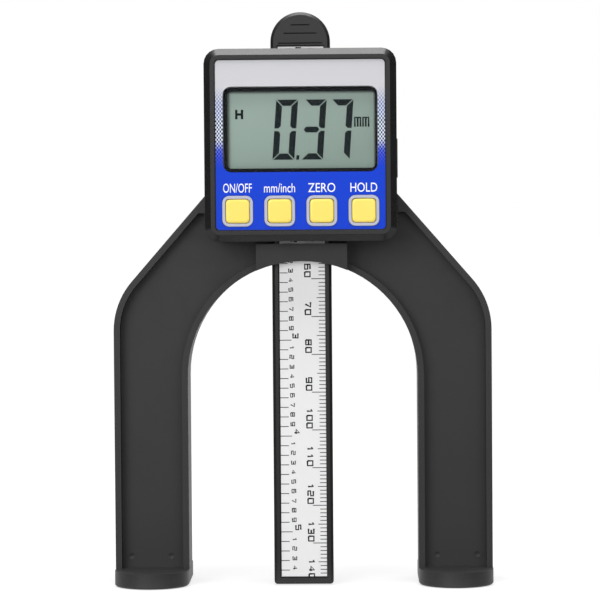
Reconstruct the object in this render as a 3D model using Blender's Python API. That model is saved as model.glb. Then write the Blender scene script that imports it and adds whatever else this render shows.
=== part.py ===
"""Digital height gauge: an arch frame on two magnetic feet, a display module and a sliding measuring blade.

Run it with blender --background --python part.py, or from the text editor. Lengths are in metres, +Z is up,
the display faces -Y, and the origin is on the table, in the middle of the feet.
"""

import math

import bmesh
import bpy

MM = 0.001
OVERRUN = 2.0 * MM
FIT_GAP = 0.3 * MM
THIN_GAP = 0.1 * MM
ARC_STEPS = 40
CORNER_STEPS = 5
HOLE_STEPS = 20
SHARP_ANGLE = math.radians(35.0)

# Feet
FOOT_DEPTH = 39.0 * MM
FOOT_HEIGHT = 4.0 * MM
FOOT_LIP = 0.05 * MM
FOOT_CHAMFER = 0.4 * MM
MAGNET_RADIUS = 4.0 * MM
MAGNET_THICKNESS = 2.5 * MM
MAGNET_SET_BACK = 0.2 * MM
MAGNET_FROM_END = 7.4 * MM
MAGNET_CHAMFER = 0.3 * MM

# Arch frame
OPENING_RADIUS = 30.5 * MM
ARCH_CENTRE_Z = 55.2 * MM
LEG_WIDTH = 19.6 * MM
LEG_DEPTH = 14.6 * MM
RIM_WIDTH = 1.65 * MM
RECESS_DEPTH = 3.6 * MM
SHOULDER_Z = 74.85 * MM
SHOULDER_RADIUS = 20.0 * MM
SLOPE_ANGLE = math.radians(41.0)
BRIDGE_WIDTH = 24.0 * MM
BRIDGE_HEIGHT = 4.6 * MM
BRIDGE_WALL = 2.0 * MM
TOWER_INSET = 3.1 * MM
TOWER_DROP = 2.9 * MM
TOWER_CORNER = 4.0 * MM
SEAT_LAP = 1.8 * MM
PANEL_LAP = 7.4 * MM

# Display module, outside
MODULE_SIZE = 50.3 * MM
MODULE_DEPTH = 14.0 * MM
MODULE_GAP = 0.75 * MM
MODULE_CORNER = 3.9 * MM
MODULE_WALL = 1.5 * MM
BEZEL_CHAMFER = 1.7 * MM
BEZEL_FLAT = 1.1 * MM
BEZEL_LIP = 0.4 * MM
PARTING_DEPTH = 5.6 * MM
FACE_WALL = 1.2 * MM
REAR_WALL = 1.0 * MM

# Face overlay and display
OVERLAY_THICKNESS = 0.2 * MM
OVERLAY_CORNER = 1.2 * MM
WINDOW_SIDE_MARGIN = 2.15 * MM
WINDOW_TOP_MARGIN = 7.12 * MM
LEGEND_BAND = 5.97 * MM
WINDOW_CORNER = 2.1 * MM
LENS_THICKNESS = 1.0 * MM
MASK_THICKNESS = 0.3 * MM
MASK_LEFT = 1.0 * MM
MASK_RIGHT = 0.55 * MM
MASK_TOP = 1.15 * MM
MASK_LOW = 1.1 * MM
VIEW_CORNER = 1.2 * MM
LCD_THICKNESS = 1.4 * MM
LCD_SIDE_INSET = 0.32 * MM
LCD_END_INSET = 0.45 * MM
HOLDER_WALL = 1.1 * MM
STRIP_HEIGHT = 1.8 * MM

# Circuit boards
BOARD_SIDE_MARGIN = 4.65 * MM
BOARD_MARGIN = 2.6 * MM
BOARD_THICKNESS = 1.0 * MM
SENSOR_WIDTH = 13.4 * MM
SENSOR_THICKNESS = 0.7 * MM
SENSOR_MARGIN = 5.6 * MM
GROOVE_WALL = 1.0 * MM
CONNECTOR_WIDTH = 10.0 * MM
CONNECTOR_HEIGHT = 2.5 * MM
CHIP_RADIUS = 3.5 * MM
CHIP_HEIGHT = 1.1 * MM
CHIP_DOME_ANGLE = math.radians(70.0)
CRYSTAL_RADIUS = 1.0 * MM
CRYSTAL_LENGTH = 6.0 * MM

# Buttons
BUTTON_COUNT = 4
BUTTON_SIDE_MARGIN = 5.78 * MM
BUTTON_CORNER = 1.0 * MM
BUTTON_GAP = 0.2 * MM
BUTTON_LOW_MARGIN = 1.03 * MM
BUTTON_TRAVEL = 0.5 * MM
BUTTON_CROWN = 0.35 * MM
BUTTON_FLANGE = 0.45 * MM
BUTTON_FLANGE_THICKNESS = 0.5 * MM
COLLAR_SPACING = 2.98 * MM
COLLAR_WALL = 0.775 * MM
COLLAR_CORNER = 1.8 * MM
COLLAR_SET_BACK = 0.2 * MM
KEY_PLATE_THICKNESS = 0.8 * MM
KEY_PLATE_MARGIN = 0.4 * MM
DOME_INSET = 0.825 * MM
DOME_HEIGHT = 0.25 * MM

# Battery and its drawer
CELL_THICKNESS = 5.4 * MM
CELL_BEVEL = 0.4 * MM
DRAWER_INNER_WALL = 0.9 * MM
DRAWER_OUTER_WALL = 1.9 * MM
DRAWER_EDGE = 0.4 * MM
DRAWER_DROP = 3.0 * MM
DRAWER_SPARE = 0.65 * MM
DRAWER_CORNER = 0.8 * MM
LIP_REACH = 0.3 * MM
LIP_DEPTH = 3.4 * MM
LIP_FROM_BOTTOM = 0.8 * MM
LIP_FROM_TOP = 1.8 * MM
RUNNER_THICKNESS = 1.0 * MM
RUNNER_HEIGHT = 3.6 * MM
CONTACT_THICKNESS = 0.2 * MM
CONTACT_WIDTH = 4.0 * MM
CONTACT_INSET = 1.8 * MM
CONTACT_BUMP = 0.25 * MM

# Blade
BLADE_WIDTH = 15.7 * MM
BLADE_THICKNESS = 3.4 * MM
BLADE_CHAMFER = 0.75 * MM
BLADE_FRONT_DEPTH = 9.3 * MM
TIP_LIFT = 0.1 * MM
TIP_BAR = 1.75 * MM
TIP_CORNER = 0.1 * MM
RAIL_WIDTH = 1.65 * MM
CHANNEL_DEPTH = 1.2 * MM
SCALE_ABOVE_MODULE = 0.9 * MM
SCALE_END_SLOT = 0.28 * MM
TAB_CENTRE_ABOVE_MODULE = 2.03 * MM
SCALE_BOARD_THICKNESS = 0.6 * MM
SCALE_LABEL_THICKNESS = 0.15 * MM
HEEL_THICKNESS = 2.0 * MM
GRIP_WIDTH = 0.3 * MM
GRIP_DEPTH = 0.6 * MM
GRIP_RISE_SHARES = (-0.04, 0.291, 0.57)
GRIP_REACH_SHARES = (0.749, 0.551, 0.315)
SPRING_THICKNESS = 0.25 * MM
SPRING_WIDTH = 6.0 * MM
SPRING_LENGTH = 28.0 * MM
SPRING_BOW = 1.1 * MM

# Screws
SCREW_RADIUS = 1.1 * MM
SCREW_HEAD_RADIUS = 2.1 * MM
SCREW_HEAD_HEIGHT = 1.5 * MM
SCREW_BITE = 4.0 * MM
SCREW_CLEARANCE = 0.25 * MM
SCREW_BOSS_WALL = 1.3 * MM
SCREW_SIDE_MARGIN = 8.1 * MM
SCREW_END_MARGIN = 6.6 * MM
SCREW_COVER = 3.5 * MM
SMALL_SCREW_RADIUS = 0.8 * MM
SMALL_HEAD_RADIUS = 1.5 * MM
SMALL_HEAD_HEIGHT = 1.0 * MM
SMALL_SCREW_LENGTH = 8.4 * MM
SMALL_BOSS_WALL = 1.0 * MM
SMALL_MARGIN = 3.05 * MM

# Places that follow from the sizes above
HALF_WIDTH = OPENING_RADIUS + LEG_WIDTH
FOOT_X = OPENING_RADIUS + LEG_WIDTH / 2
FOOT_RADIUS = LEG_WIDTH / 2 + FOOT_LIP
RIM_Y = LEG_DEPTH / 2
FLOOR_Y = RIM_Y - RECESS_DEPTH
BRIDGE_TOP_Z = ARCH_CENTRE_Z + OPENING_RADIUS + BRIDGE_HEIGHT
MODULE_LOW_Z = BRIDGE_TOP_Z + MODULE_GAP
MODULE_TOP_Z = MODULE_LOW_Z + MODULE_SIZE
MODULE_Z = MODULE_LOW_Z + MODULE_SIZE / 2
MODULE_FRONT_Y = -FOOT_DEPTH / 2
MODULE_BACK_Y = MODULE_FRONT_Y + MODULE_DEPTH
TOWER_HALF = MODULE_SIZE / 2 - TOWER_INSET
TOWER_TOP_Z = MODULE_TOP_Z - TOWER_DROP
TOWER_FRONT_Y = MODULE_BACK_Y + FIT_GAP

OVERLAY_HALF = MODULE_SIZE / 2 - BEZEL_CHAMFER - BEZEL_FLAT - THIN_GAP
OVERLAY_FRONT_Y = MODULE_FRONT_Y + BEZEL_LIP
OVERLAY_BACK_Y = OVERLAY_FRONT_Y + OVERLAY_THICKNESS
FACE_FRONT_Y = OVERLAY_BACK_Y + THIN_GAP
FACE_BACK_Y = FACE_FRONT_Y + FACE_WALL
PARTING_Y = MODULE_FRONT_Y + PARTING_DEPTH
CAVITY_HALF = MODULE_SIZE / 2 - MODULE_WALL
REAR_INNER_Y = MODULE_BACK_Y - REAR_WALL

BUTTON_PITCH = 2 * (OVERLAY_HALF - BUTTON_SIDE_MARGIN) / (BUTTON_COUNT - 1)
BUTTON_PLACES = [(step - (BUTTON_COUNT - 1) / 2) * BUTTON_PITCH for step in range(BUTTON_COUNT)]
BUTTON_FRONT_Y = MODULE_FRONT_Y + THIN_GAP
COLLAR_OUTER = BUTTON_PITCH - COLLAR_SPACING
COLLAR_INNER = COLLAR_OUTER - 2 * COLLAR_WALL
BUTTON_SIZE = COLLAR_INNER - 2 * BUTTON_GAP
BUTTON_Z = MODULE_Z - OVERLAY_HALF + BUTTON_LOW_MARGIN + COLLAR_OUTER / 2

WINDOW_WIDTH = 2 * (OVERLAY_HALF - WINDOW_SIDE_MARGIN)
WINDOW_TOP_Z = MODULE_Z + OVERLAY_HALF - WINDOW_TOP_MARGIN
WINDOW_LOW_Z = BUTTON_Z + COLLAR_OUTER / 2 + LEGEND_BAND
WINDOW_HEIGHT = WINDOW_TOP_Z - WINDOW_LOW_Z
WINDOW_Z = (WINDOW_TOP_Z + WINDOW_LOW_Z) / 2
MASK_FRONT_Y = OVERLAY_FRONT_Y + LENS_THICKNESS + THIN_GAP
HOLDER_FRONT_Y = FACE_BACK_Y + FIT_GAP
LCD_FRONT_Y = HOLDER_FRONT_Y + THIN_GAP
LCD_BACK_Y = LCD_FRONT_Y + LCD_THICKNESS
LCD_HALF_WIDTH = WINDOW_WIDTH / 2 - LCD_SIDE_INSET
LCD_HALF_HEIGHT = WINDOW_HEIGHT / 2 - LCD_END_INSET

COLLAR_FRONT_Y = MODULE_FRONT_Y + COLLAR_SET_BACK
KEY_PLATE_FRONT_Y = FACE_BACK_Y + FIT_GAP
KEY_PLATE_BACK_Y = KEY_PLATE_FRONT_Y + KEY_PLATE_THICKNESS
FLANGE_FRONT_Y = KEY_PLATE_BACK_Y + THIN_GAP
FLANGE_BACK_Y = FLANGE_FRONT_Y + BUTTON_FLANGE_THICKNESS
DOME_FRONT_Y = FLANGE_BACK_Y + BUTTON_TRAVEL + THIN_GAP
BOARD_FRONT_Y = DOME_FRONT_Y + DOME_HEIGHT + THIN_GAP
BOARD_BACK_Y = BOARD_FRONT_Y + BOARD_THICKNESS
BOARD_HALF_WIDTH = CAVITY_HALF - BOARD_SIDE_MARGIN

BLADE_FRONT_Y = MODULE_FRONT_Y + BLADE_FRONT_DEPTH
BLADE_BACK_Y = BLADE_FRONT_Y + BLADE_THICKNESS
GROOVE_HALF = BLADE_WIDTH / 2 + FIT_GAP
GROOVE_FLOOR_Y = BLADE_FRONT_Y - FIT_GAP
GUIDE_Y = BLADE_BACK_Y + FIT_GAP
BRIDGE_FRONT_Y = GROOVE_FLOOR_Y - BRIDGE_WALL
CHANNEL_HALF = BLADE_WIDTH / 2 - RAIL_WIDTH
CHANNEL_FLOOR_Y = BLADE_FRONT_Y + CHANNEL_DEPTH
SCALE_TOP_Z = MODULE_TOP_Z + SCALE_ABOVE_MODULE
TAB_CENTRE_Z = MODULE_TOP_Z + TAB_CENTRE_ABOVE_MODULE
HEEL_LOW_Z = TOWER_TOP_Z + TIP_LIFT + FIT_GAP

SENSOR_BACK_Y = GROOVE_FLOOR_Y - THIN_GAP
SENSOR_FRONT_Y = SENSOR_BACK_Y - SENSOR_THICKNESS
DRAWER_BAY = MODULE_SIZE / 2 - GROOVE_HALF - GROOVE_WALL - DRAWER_SPARE
DRAWER_WALLS = DRAWER_INNER_WALL + DRAWER_OUTER_WALL + 3 * FIT_GAP
CELL_RADIUS = (DRAWER_BAY - DRAWER_WALLS) / 2
CELL_BACK_Y = REAR_INNER_Y - FIT_GAP - CONTACT_THICKNESS - CONTACT_BUMP
CELL_FRONT_Y = CELL_BACK_Y - CELL_THICKNESS
DRAWER_HALF = CELL_RADIUS + FIT_GAP + DRAWER_EDGE
DRAWER_Z = MODULE_Z - DRAWER_DROP
CELL_X = MODULE_SIZE / 2 - DRAWER_OUTER_WALL - FIT_GAP - CELL_RADIUS
DRAWER_INNER_X = CELL_X - CELL_RADIUS - FIT_GAP - DRAWER_INNER_WALL

SCREW_X = MODULE_SIZE / 2 - SCREW_SIDE_MARGIN
SCREW_ROWS = [MODULE_LOW_Z + SCREW_END_MARGIN, MODULE_TOP_Z - SCREW_END_MARGIN]
SCREW_HEAD_Y = FLOOR_Y - SCREW_COVER
SMALL_X = MODULE_SIZE / 2 - SMALL_MARGIN
SMALL_ROWS = [MODULE_LOW_Z + SMALL_MARGIN, MODULE_TOP_Z - SMALL_MARGIN]


def clear_scene():
    """Removes whatever the scene holds."""
    for old in list(bpy.data.objects):
        bpy.data.objects.remove(old, do_unlink=True)


def finish(name, colour, roughness, metallic=0.0):
    """A plain Principled material."""
    made = bpy.data.materials.new(name)
    made.use_nodes = True
    shader = made.node_tree.nodes["Principled BSDF"]
    shader.inputs["Base Color"].default_value = (*colour, 1.0)
    shader.inputs["Roughness"].default_value = roughness
    shader.inputs["Metallic"].default_value = metallic
    made.diffuse_color = (*colour, 1.0)
    return made


def arc(centre, radius, start, end, steps):
    """Points of an arc in a plane, both ends included, angles in radians."""
    points = []
    for step in range(steps + 1):
        angle = start + (end - start) * step / steps
        points.append((centre[0] + radius * math.cos(angle), centre[1] + radius * math.sin(angle)))
    return points


def circle(centre, radius, steps=HOLE_STEPS):
    """A closed circle in a plane."""
    return arc(centre, radius, 0.0, math.tau, steps)[:-1]


def rounded(centre, half_width, half_height, radius, steps=CORNER_STEPS):
    """A closed rectangle with round corners in a plane."""
    radius = min(radius, half_width, half_height)
    points = []
    for turn, (side, rise) in enumerate([(1, 1), (-1, 1), (-1, -1), (1, -1)]):
        corner_x = centre[0] + side * (half_width - radius)
        corner_z = centre[1] + rise * (half_height - radius)
        start = turn * math.pi / 2
        points += arc((corner_x, corner_z), radius, start, start + math.pi / 2, steps)
    return points


def box_outline(x_low, x_high, z_low, z_high):
    """A closed rectangle in a plane."""
    return [(x_high, z_high), (x_low, z_high), (x_low, z_low), (x_high, z_low)]


def stand(points, y):
    """Puts the points of an X, Z outline at one depth."""
    return [(x, y, z) for x, z in points]


def lay(points, z):
    """Puts the points of an X, Y outline at one height."""
    return [(x, y, z) for x, y in points]


def loft(name, loops, material=None, smooth=True):
    """A closed solid through loops with equal numbers of points, capped at both ends."""
    mesh_edit = bmesh.new()
    rings = [[mesh_edit.verts.new(point) for point in loop] for loop in loops]
    mesh_edit.faces.new(rings[0])
    mesh_edit.faces.new(rings[-1])
    for first, second in zip(rings, rings[1:]):
        for index in range(len(first)):
            following = (index + 1) % len(first)
            mesh_edit.faces.new((first[index], first[following], second[following], second[index]))
    bmesh.ops.recalc_face_normals(mesh_edit, faces=mesh_edit.faces)
    mesh = bpy.data.meshes.new(name)
    mesh_edit.to_mesh(mesh)
    mesh_edit.free()
    if smooth:
        mesh.shade_smooth()
        mesh.set_sharp_from_angle(angle=SHARP_ANGLE)
    made = bpy.data.objects.new(name, mesh)
    bpy.context.scene.collection.objects.link(made)
    if material:
        mesh.materials.append(material)
    return made


def slab(name, outline, y_front, y_back, material=None):
    """An X, Z outline between two depths."""
    return loft(name, [stand(outline, y_front), stand(outline, y_back)], material)


def block(name, x_range, y_range, z_range, material=None):
    """A plain box."""
    return slab(name, box_outline(*x_range, *z_range), *y_range, material)


def turned(name, centre, profile, material=None, steps=HOLE_STEPS):
    """A round solid about an axis along Y through the X, Z centre, from radius and depth pairs."""
    return loft(name, [stand(circle(centre, radius, steps), y) for radius, y in profile], material)


def copies(form, names, places):
    """Sets the form's mesh at each place under its own name, and drops the form itself."""
    mesh = form.data
    bpy.data.objects.remove(form, do_unlink=True)
    made = []
    for name, place in zip(names, places):
        copy = bpy.data.objects.new(name, mesh)
        copy.location = place
        bpy.context.scene.collection.objects.link(copy)
        made.append(copy)
    return made


def hang(name, place, pieces):
    """Gives pieces one parent empty on their joint's axis and leaves them where they are."""
    axis = bpy.data.objects.new(name, None)
    axis.location = place
    bpy.context.scene.collection.objects.link(axis)
    for piece in pieces:
        piece.parent = axis
        piece.location = [-value for value in place]


def combine(target, tool, operation):
    """Cuts a tool from the target, or adds it, as a live Boolean."""
    step = target.modifiers.new(tool.name, "BOOLEAN")
    step.operation = operation
    step.solver = "EXACT"
    step.object = tool
    tool.hide_render = True
    tool.display_type = "WIRE"


def cut(target, *tools):
    """Takes each tool away from the target."""
    for tool in tools:
        combine(target, tool, "DIFFERENCE")


def add(target, *tools):
    """Joins each tool to the target."""
    for tool in tools:
        combine(target, tool, "UNION")


def mirrored(outline):
    """The same outline on the other side of the middle."""
    return [(-x, z) for x, z in reversed(outline)]


def slope_height(x, inset):
    """Height of the shoulder's slope at a place across, drawn in by an inset."""
    return SHOULDER_Z + (HALF_WIDTH - x - inset / math.cos(SLOPE_ANGLE)) / math.tan(SLOPE_ANGLE)


def slope_x(z, inset):
    """Place across of the shoulder's slope at a height, drawn in by an inset."""
    return HALF_WIDTH - inset / math.cos(SLOPE_ANGLE) - (z - SHOULDER_Z) * math.tan(SLOPE_ANGLE)


def shoulder(inset):
    """The round between the leg's side and the slope, from below."""
    drop = SHOULDER_RADIUS * math.tan(SLOPE_ANGLE / 2)
    centre = (HALF_WIDTH - SHOULDER_RADIUS, SHOULDER_Z - drop)
    return arc(centre, SHOULDER_RADIUS - inset, 0.0, SLOPE_ANGLE, 2 * CORNER_STEPS)


def right_side(inset, z_low):
    """The outer edge of the frame's right side, from the leg's foot to the tower's top corner."""
    edge = TOWER_HALF - inset
    corner = (TOWER_HALF - TOWER_CORNER, TOWER_TOP_Z - TOWER_CORNER)
    outline = [(HALF_WIDTH - inset, z_low), *shoulder(inset), (edge, slope_height(edge, inset))]
    return outline + arc(corner, TOWER_CORNER - inset, 0.0, math.pi / 2, CORNER_STEPS)


def opening_outline(inset, z_low):
    """The arch between the legs, grown by an inset, from its right foot over to its left foot."""
    radius = OPENING_RADIUS + inset
    over = arc((0.0, ARCH_CENTRE_Z), radius, 0.0, math.pi, ARC_STEPS)
    return [(radius, z_low), *over, (-radius, z_low)]


def front_recess_outline(z_low):
    """The sunk panel of the right leg and shoulder, up to the tower and into the bridge."""
    radius = OPENING_RADIUS + RIM_WIDTH
    inner_x = BRIDGE_WIDTH / 2 - RIM_WIDTH
    seat_z = MODULE_LOW_Z + SEAT_LAP
    under = arc((0.0, ARCH_CENTRE_Z), radius, 0.0, math.acos(inner_x / radius), ARC_STEPS // 2)
    panel_z = MODULE_LOW_Z + PANEL_LAP
    outline = [(radius, z_low), *under, (inner_x, seat_z), (TOWER_HALF, seat_z)]
    outline += [(TOWER_HALF, panel_z), (slope_x(panel_z, RIM_WIDTH), panel_z)]
    return outline + shoulder(RIM_WIDTH)[::-1] + [(HALF_WIDTH - RIM_WIDTH, z_low)]


def foot_outline(inset):
    """The foot seen from above: straight sides and round ends, about the leg's middle."""
    radius = FOOT_RADIUS - inset
    reach = FOOT_DEPTH / 2 - FOOT_RADIUS
    back = arc((0.0, reach), radius, 0.0, math.pi, ARC_STEPS // 2)
    front = arc((0.0, -reach), radius, math.pi, math.tau, ARC_STEPS // 2)
    return back + front


def foot(side):
    """One foot, with a small chamfer round its sole."""
    levels = [(FOOT_CHAMFER, 0.0), (0.0, FOOT_CHAMFER), (0.0, FOOT_HEIGHT)]
    loops = []
    for inset, z in levels:
        loops.append(lay([(x + side * FOOT_X, y) for x, y in foot_outline(inset)], z))
    return loft("foot_form", loops)


def magnet_places():
    """Name, X and Y of each magnet's centre."""
    reach = FOOT_DEPTH / 2 - MAGNET_FROM_END
    for side_name, side in (("left", -1), ("right", 1)):
        for end_name, end in (("front", -1), ("rear", 1)):
            yield f"{side_name}_{end_name}_magnet", side * FOOT_X, end * reach


def arch_frame():
    """The black moulding: two legs, shoulders, bridge, guide tower and feet in one piece."""
    black = finish("black_frame_plastic", (0.035, 0.035, 0.037), 0.45)
    leg_low = FOOT_HEIGHT / 2
    below = -OVERRUN
    side = right_side(0.0, leg_low)
    frame = slab("arch_frame", side + mirrored(side), -RIM_Y, RIM_Y, black)

    panel = front_recess_outline(below)
    cut(frame, slab("right_panel_cut", panel, -RIM_Y - OVERRUN, -FLOOR_Y))
    cut(frame, slab("left_panel_cut", mirrored(panel), -RIM_Y - OVERRUN, -FLOOR_Y))
    rear_side = right_side(RIM_WIDTH, below)
    rear_arch = opening_outline(RIM_WIDTH, below)
    rear_panel = rear_side + mirrored(rear_side) + rear_arch[::-1]
    cut(frame, slab("rear_panel_cut", rear_panel, FLOOR_Y, RIM_Y + OVERRUN))

    bridge_half = BRIDGE_WIDTH / 2
    bridge_back_y = -FLOOR_Y + RIM_WIDTH
    bridge_z = (ARCH_CENTRE_Z, BRIDGE_TOP_Z)
    add(frame, block("bridge_form", (-bridge_half, bridge_half), (BRIDGE_FRONT_Y, bridge_back_y), bridge_z))
    through = (MODULE_FRONT_Y - OVERRUN, RIM_Y + OVERRUN)
    cut(frame, slab("opening_cut", opening_outline(0.0, below), *through))
    add(frame, foot(-1), foot(1))

    seat_half = MODULE_SIZE / 2 + FIT_GAP
    seat_z = (MODULE_LOW_Z - FIT_GAP, MODULE_TOP_Z + OVERRUN)
    cut(frame, block("module_seat_cut", (-seat_half, seat_half), (through[0], TOWER_FRONT_Y), seat_z))
    guide_half = BLADE_WIDTH / 2
    guide_z = (MODULE_LOW_Z, TOWER_TOP_Z)
    add(frame, guide_rib(guide_half, guide_z))
    slot_z = (ARCH_CENTRE_Z, BRIDGE_TOP_Z + OVERRUN)
    slot_y = (GROOVE_FLOOR_Y, GUIDE_Y)
    cut(frame, block("blade_slot_cut", (-GROOVE_HALF, GROOVE_HALF), slot_y, slot_z))
    cut(frame, spring_pocket())

    for index, (x, z) in enumerate(module_screw_places()):
        head_radius = SCREW_HEAD_RADIUS + SCREW_CLEARANCE
        shank_radius = SCREW_RADIUS + SCREW_CLEARANCE
        seat_y = SCREW_HEAD_Y - THIN_GAP
        profile = [(shank_radius, TOWER_FRONT_Y - OVERRUN), (shank_radius, seat_y)]
        profile += [(head_radius, seat_y), (head_radius, RIM_Y + OVERRUN)]
        cut(frame, turned(f"screw_hole_cut_{index}", (x, z), profile))
    for name, x, y in magnet_places():
        radius = MAGNET_RADIUS + FIT_GAP
        ring = circle((x, y), radius)
        top = MAGNET_SET_BACK + MAGNET_THICKNESS + FIT_GAP
        cut(frame, loft(f"{name}_pocket_cut", [lay(ring, below), lay(ring, top)]))
    return frame


def guide_rib(half_width, z_range):
    """The rib of the tower that reaches into the module's groove and backs the blade."""
    root_y = TOWER_FRONT_Y + RIM_WIDTH
    return block("guide_rib_form", (-half_width, half_width), (GUIDE_Y, root_y), z_range)


def spring_pocket():
    """The pocket in the guide rib that holds the leaf spring."""
    half_width = SPRING_WIDTH / 2 + FIT_GAP
    half_length = SPRING_LENGTH / 2 + FIT_GAP
    floor_y = GUIDE_Y + SPRING_BOW + SPRING_THICKNESS + FIT_GAP
    z_range = (MODULE_Z - half_length, MODULE_Z + half_length)
    return block("spring_pocket_cut", (-half_width, half_width), (GUIDE_Y - OVERRUN, floor_y), z_range)


def friction_spring():
    """The bowed leaf spring that presses on the blade's back."""
    bronze = finish("spring_bronze", (0.55, 0.36, 0.17), 0.35, 1.0)
    half_length = SPRING_LENGTH / 2
    crest_y = GUIDE_Y
    front = []
    for step in range(ARC_STEPS // 2 + 1):
        share = 2 * step / (ARC_STEPS // 2) - 1
        front.append((crest_y + SPRING_BOW * share * share, MODULE_Z + share * half_length))
    back = [(y + SPRING_THICKNESS, z) for y, z in reversed(front)]
    half_width = SPRING_WIDTH / 2
    sides = [[(x, y, z) for y, z in front + back] for x in (-half_width, half_width)]
    return loft("friction_spring", sides, bronze)


def foot_magnets():
    """Four round magnets set in the soles."""
    nickel = finish("magnet_nickel", (0.6, 0.6, 0.6), 0.3, 1.0)
    small = MAGNET_RADIUS - MAGNET_CHAMFER
    levels = [(small, 0.0), (MAGNET_RADIUS, MAGNET_CHAMFER), (MAGNET_RADIUS, MAGNET_THICKNESS)]
    disc = loft("magnet", [lay(circle((0.0, 0.0), radius), z) for radius, z in levels], nickel)
    places = list(magnet_places())
    names = [name for name, _, _ in places]
    copies(disc, names, [(x, y, MAGNET_SET_BACK) for _, x, y in places])


def blade_outline(inset):
    """The blade from the front: a long strip with a half-round head and small rounds at its tip."""
    low = TIP_LIFT + inset
    half = BLADE_WIDTH / 2 - inset
    radius = TIP_CORNER + BLADE_CHAMFER - inset
    right = arc((half - radius, low + radius), radius, -math.pi / 2, 0.0, CORNER_STEPS)
    head = arc((0.0, TAB_CENTRE_Z), half, 0.0, math.pi, ARC_STEPS)
    return right + head + mirrored(right)


def blade_body():
    """The sliding blade with its rails, half-round thumb tab, grip steps and stop heel."""
    black = finish("black_blade_plastic", (0.03, 0.03, 0.032), 0.4)
    loops = [
        stand(blade_outline(BLADE_CHAMFER), BLADE_FRONT_Y),
        stand(blade_outline(0.0), BLADE_FRONT_Y + BLADE_CHAMFER),
        stand(blade_outline(0.0), BLADE_BACK_Y),
    ]
    blade = loft("blade_body", loops, black)
    channel_z = (TIP_LIFT + TIP_BAR, SCALE_TOP_Z + SCALE_END_SLOT)
    channel_y = (BLADE_FRONT_Y - OVERRUN, CHANNEL_FLOOR_Y)
    cut(blade, block("channel_cut", (-CHANNEL_HALF, CHANNEL_HALF), channel_y, channel_z))
    half = BLADE_WIDTH / 2
    head = arc((0.0, TAB_CENTRE_Z), half - BLADE_CHAMFER, 0.0, math.pi, ARC_STEPS)
    heel = [(half - BLADE_CHAMFER, HEEL_LOW_Z), *head, (BLADE_CHAMFER - half, HEEL_LOW_Z)]
    root_y = BLADE_BACK_Y - BLADE_CHAMFER
    add(blade, slab("heel_form", heel, root_y, BLADE_BACK_Y + HEEL_THICKNESS))
    grip_y = (BLADE_FRONT_Y - OVERRUN, BLADE_FRONT_Y + GRIP_DEPTH)
    for index, (rise, reach) in enumerate(zip(GRIP_RISE_SHARES, GRIP_REACH_SHARES)):
        z = TAB_CENTRE_Z + rise * half
        x_range = (-reach * half, reach * half)
        cut(blade, block(f"grip_cut_{index}", x_range, grip_y, (z - GRIP_WIDTH / 2, z + GRIP_WIDTH / 2)))
    return blade


def scale_strip():
    """The capacitive scale board in the blade's channel, and the printed label over it."""
    board_finish = finish("scale_board_laminate", (0.2, 0.3, 0.12), 0.4)
    paper = finish("scale_label_print", (0.86, 0.86, 0.86), 0.4)
    half = CHANNEL_HALF - THIN_GAP
    z_range = (TIP_LIFT + TIP_BAR + THIN_GAP, SCALE_TOP_Z - THIN_GAP)
    board_back = CHANNEL_FLOOR_Y - THIN_GAP
    board_front = board_back - SCALE_BOARD_THICKNESS
    label_back = board_front - THIN_GAP
    label_front = label_back - SCALE_LABEL_THICKNESS
    board = block("scale_board", (-half, half), (board_front, board_back), z_range, board_finish)
    label = block("scale_label", (-half, half), (label_front, label_back), z_range, paper)
    return board, label


def module_outline(inset):
    """The square module from the front, drawn in by an inset."""
    half = MODULE_SIZE / 2 - inset
    return rounded((0.0, MODULE_Z), half, half, max(MODULE_CORNER - inset, THIN_GAP))


def window_outline(grow):
    """The display window, grown on every side."""
    half_width = WINDOW_WIDTH / 2 + grow
    half_height = WINDOW_HEIGHT / 2 + grow
    return rounded((0.0, WINDOW_Z), half_width, half_height, WINDOW_CORNER + grow)


def collar_outline(x, grow):
    """One button's square opening in the face."""
    half = COLLAR_OUTER / 2 + grow
    return rounded((x, BUTTON_Z), half, half, COLLAR_CORNER + grow)


def small_screw_places():
    """X and Z of the four screws that close the module."""
    return [(side * SMALL_X, z) for side in (-1, 1) for z in SMALL_ROWS]


def module_screw_places():
    """X and Z of the four screws that hold the module on the tower."""
    return [(side * SCREW_X, z) for side in (-1, 1) for z in SCREW_ROWS]


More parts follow.
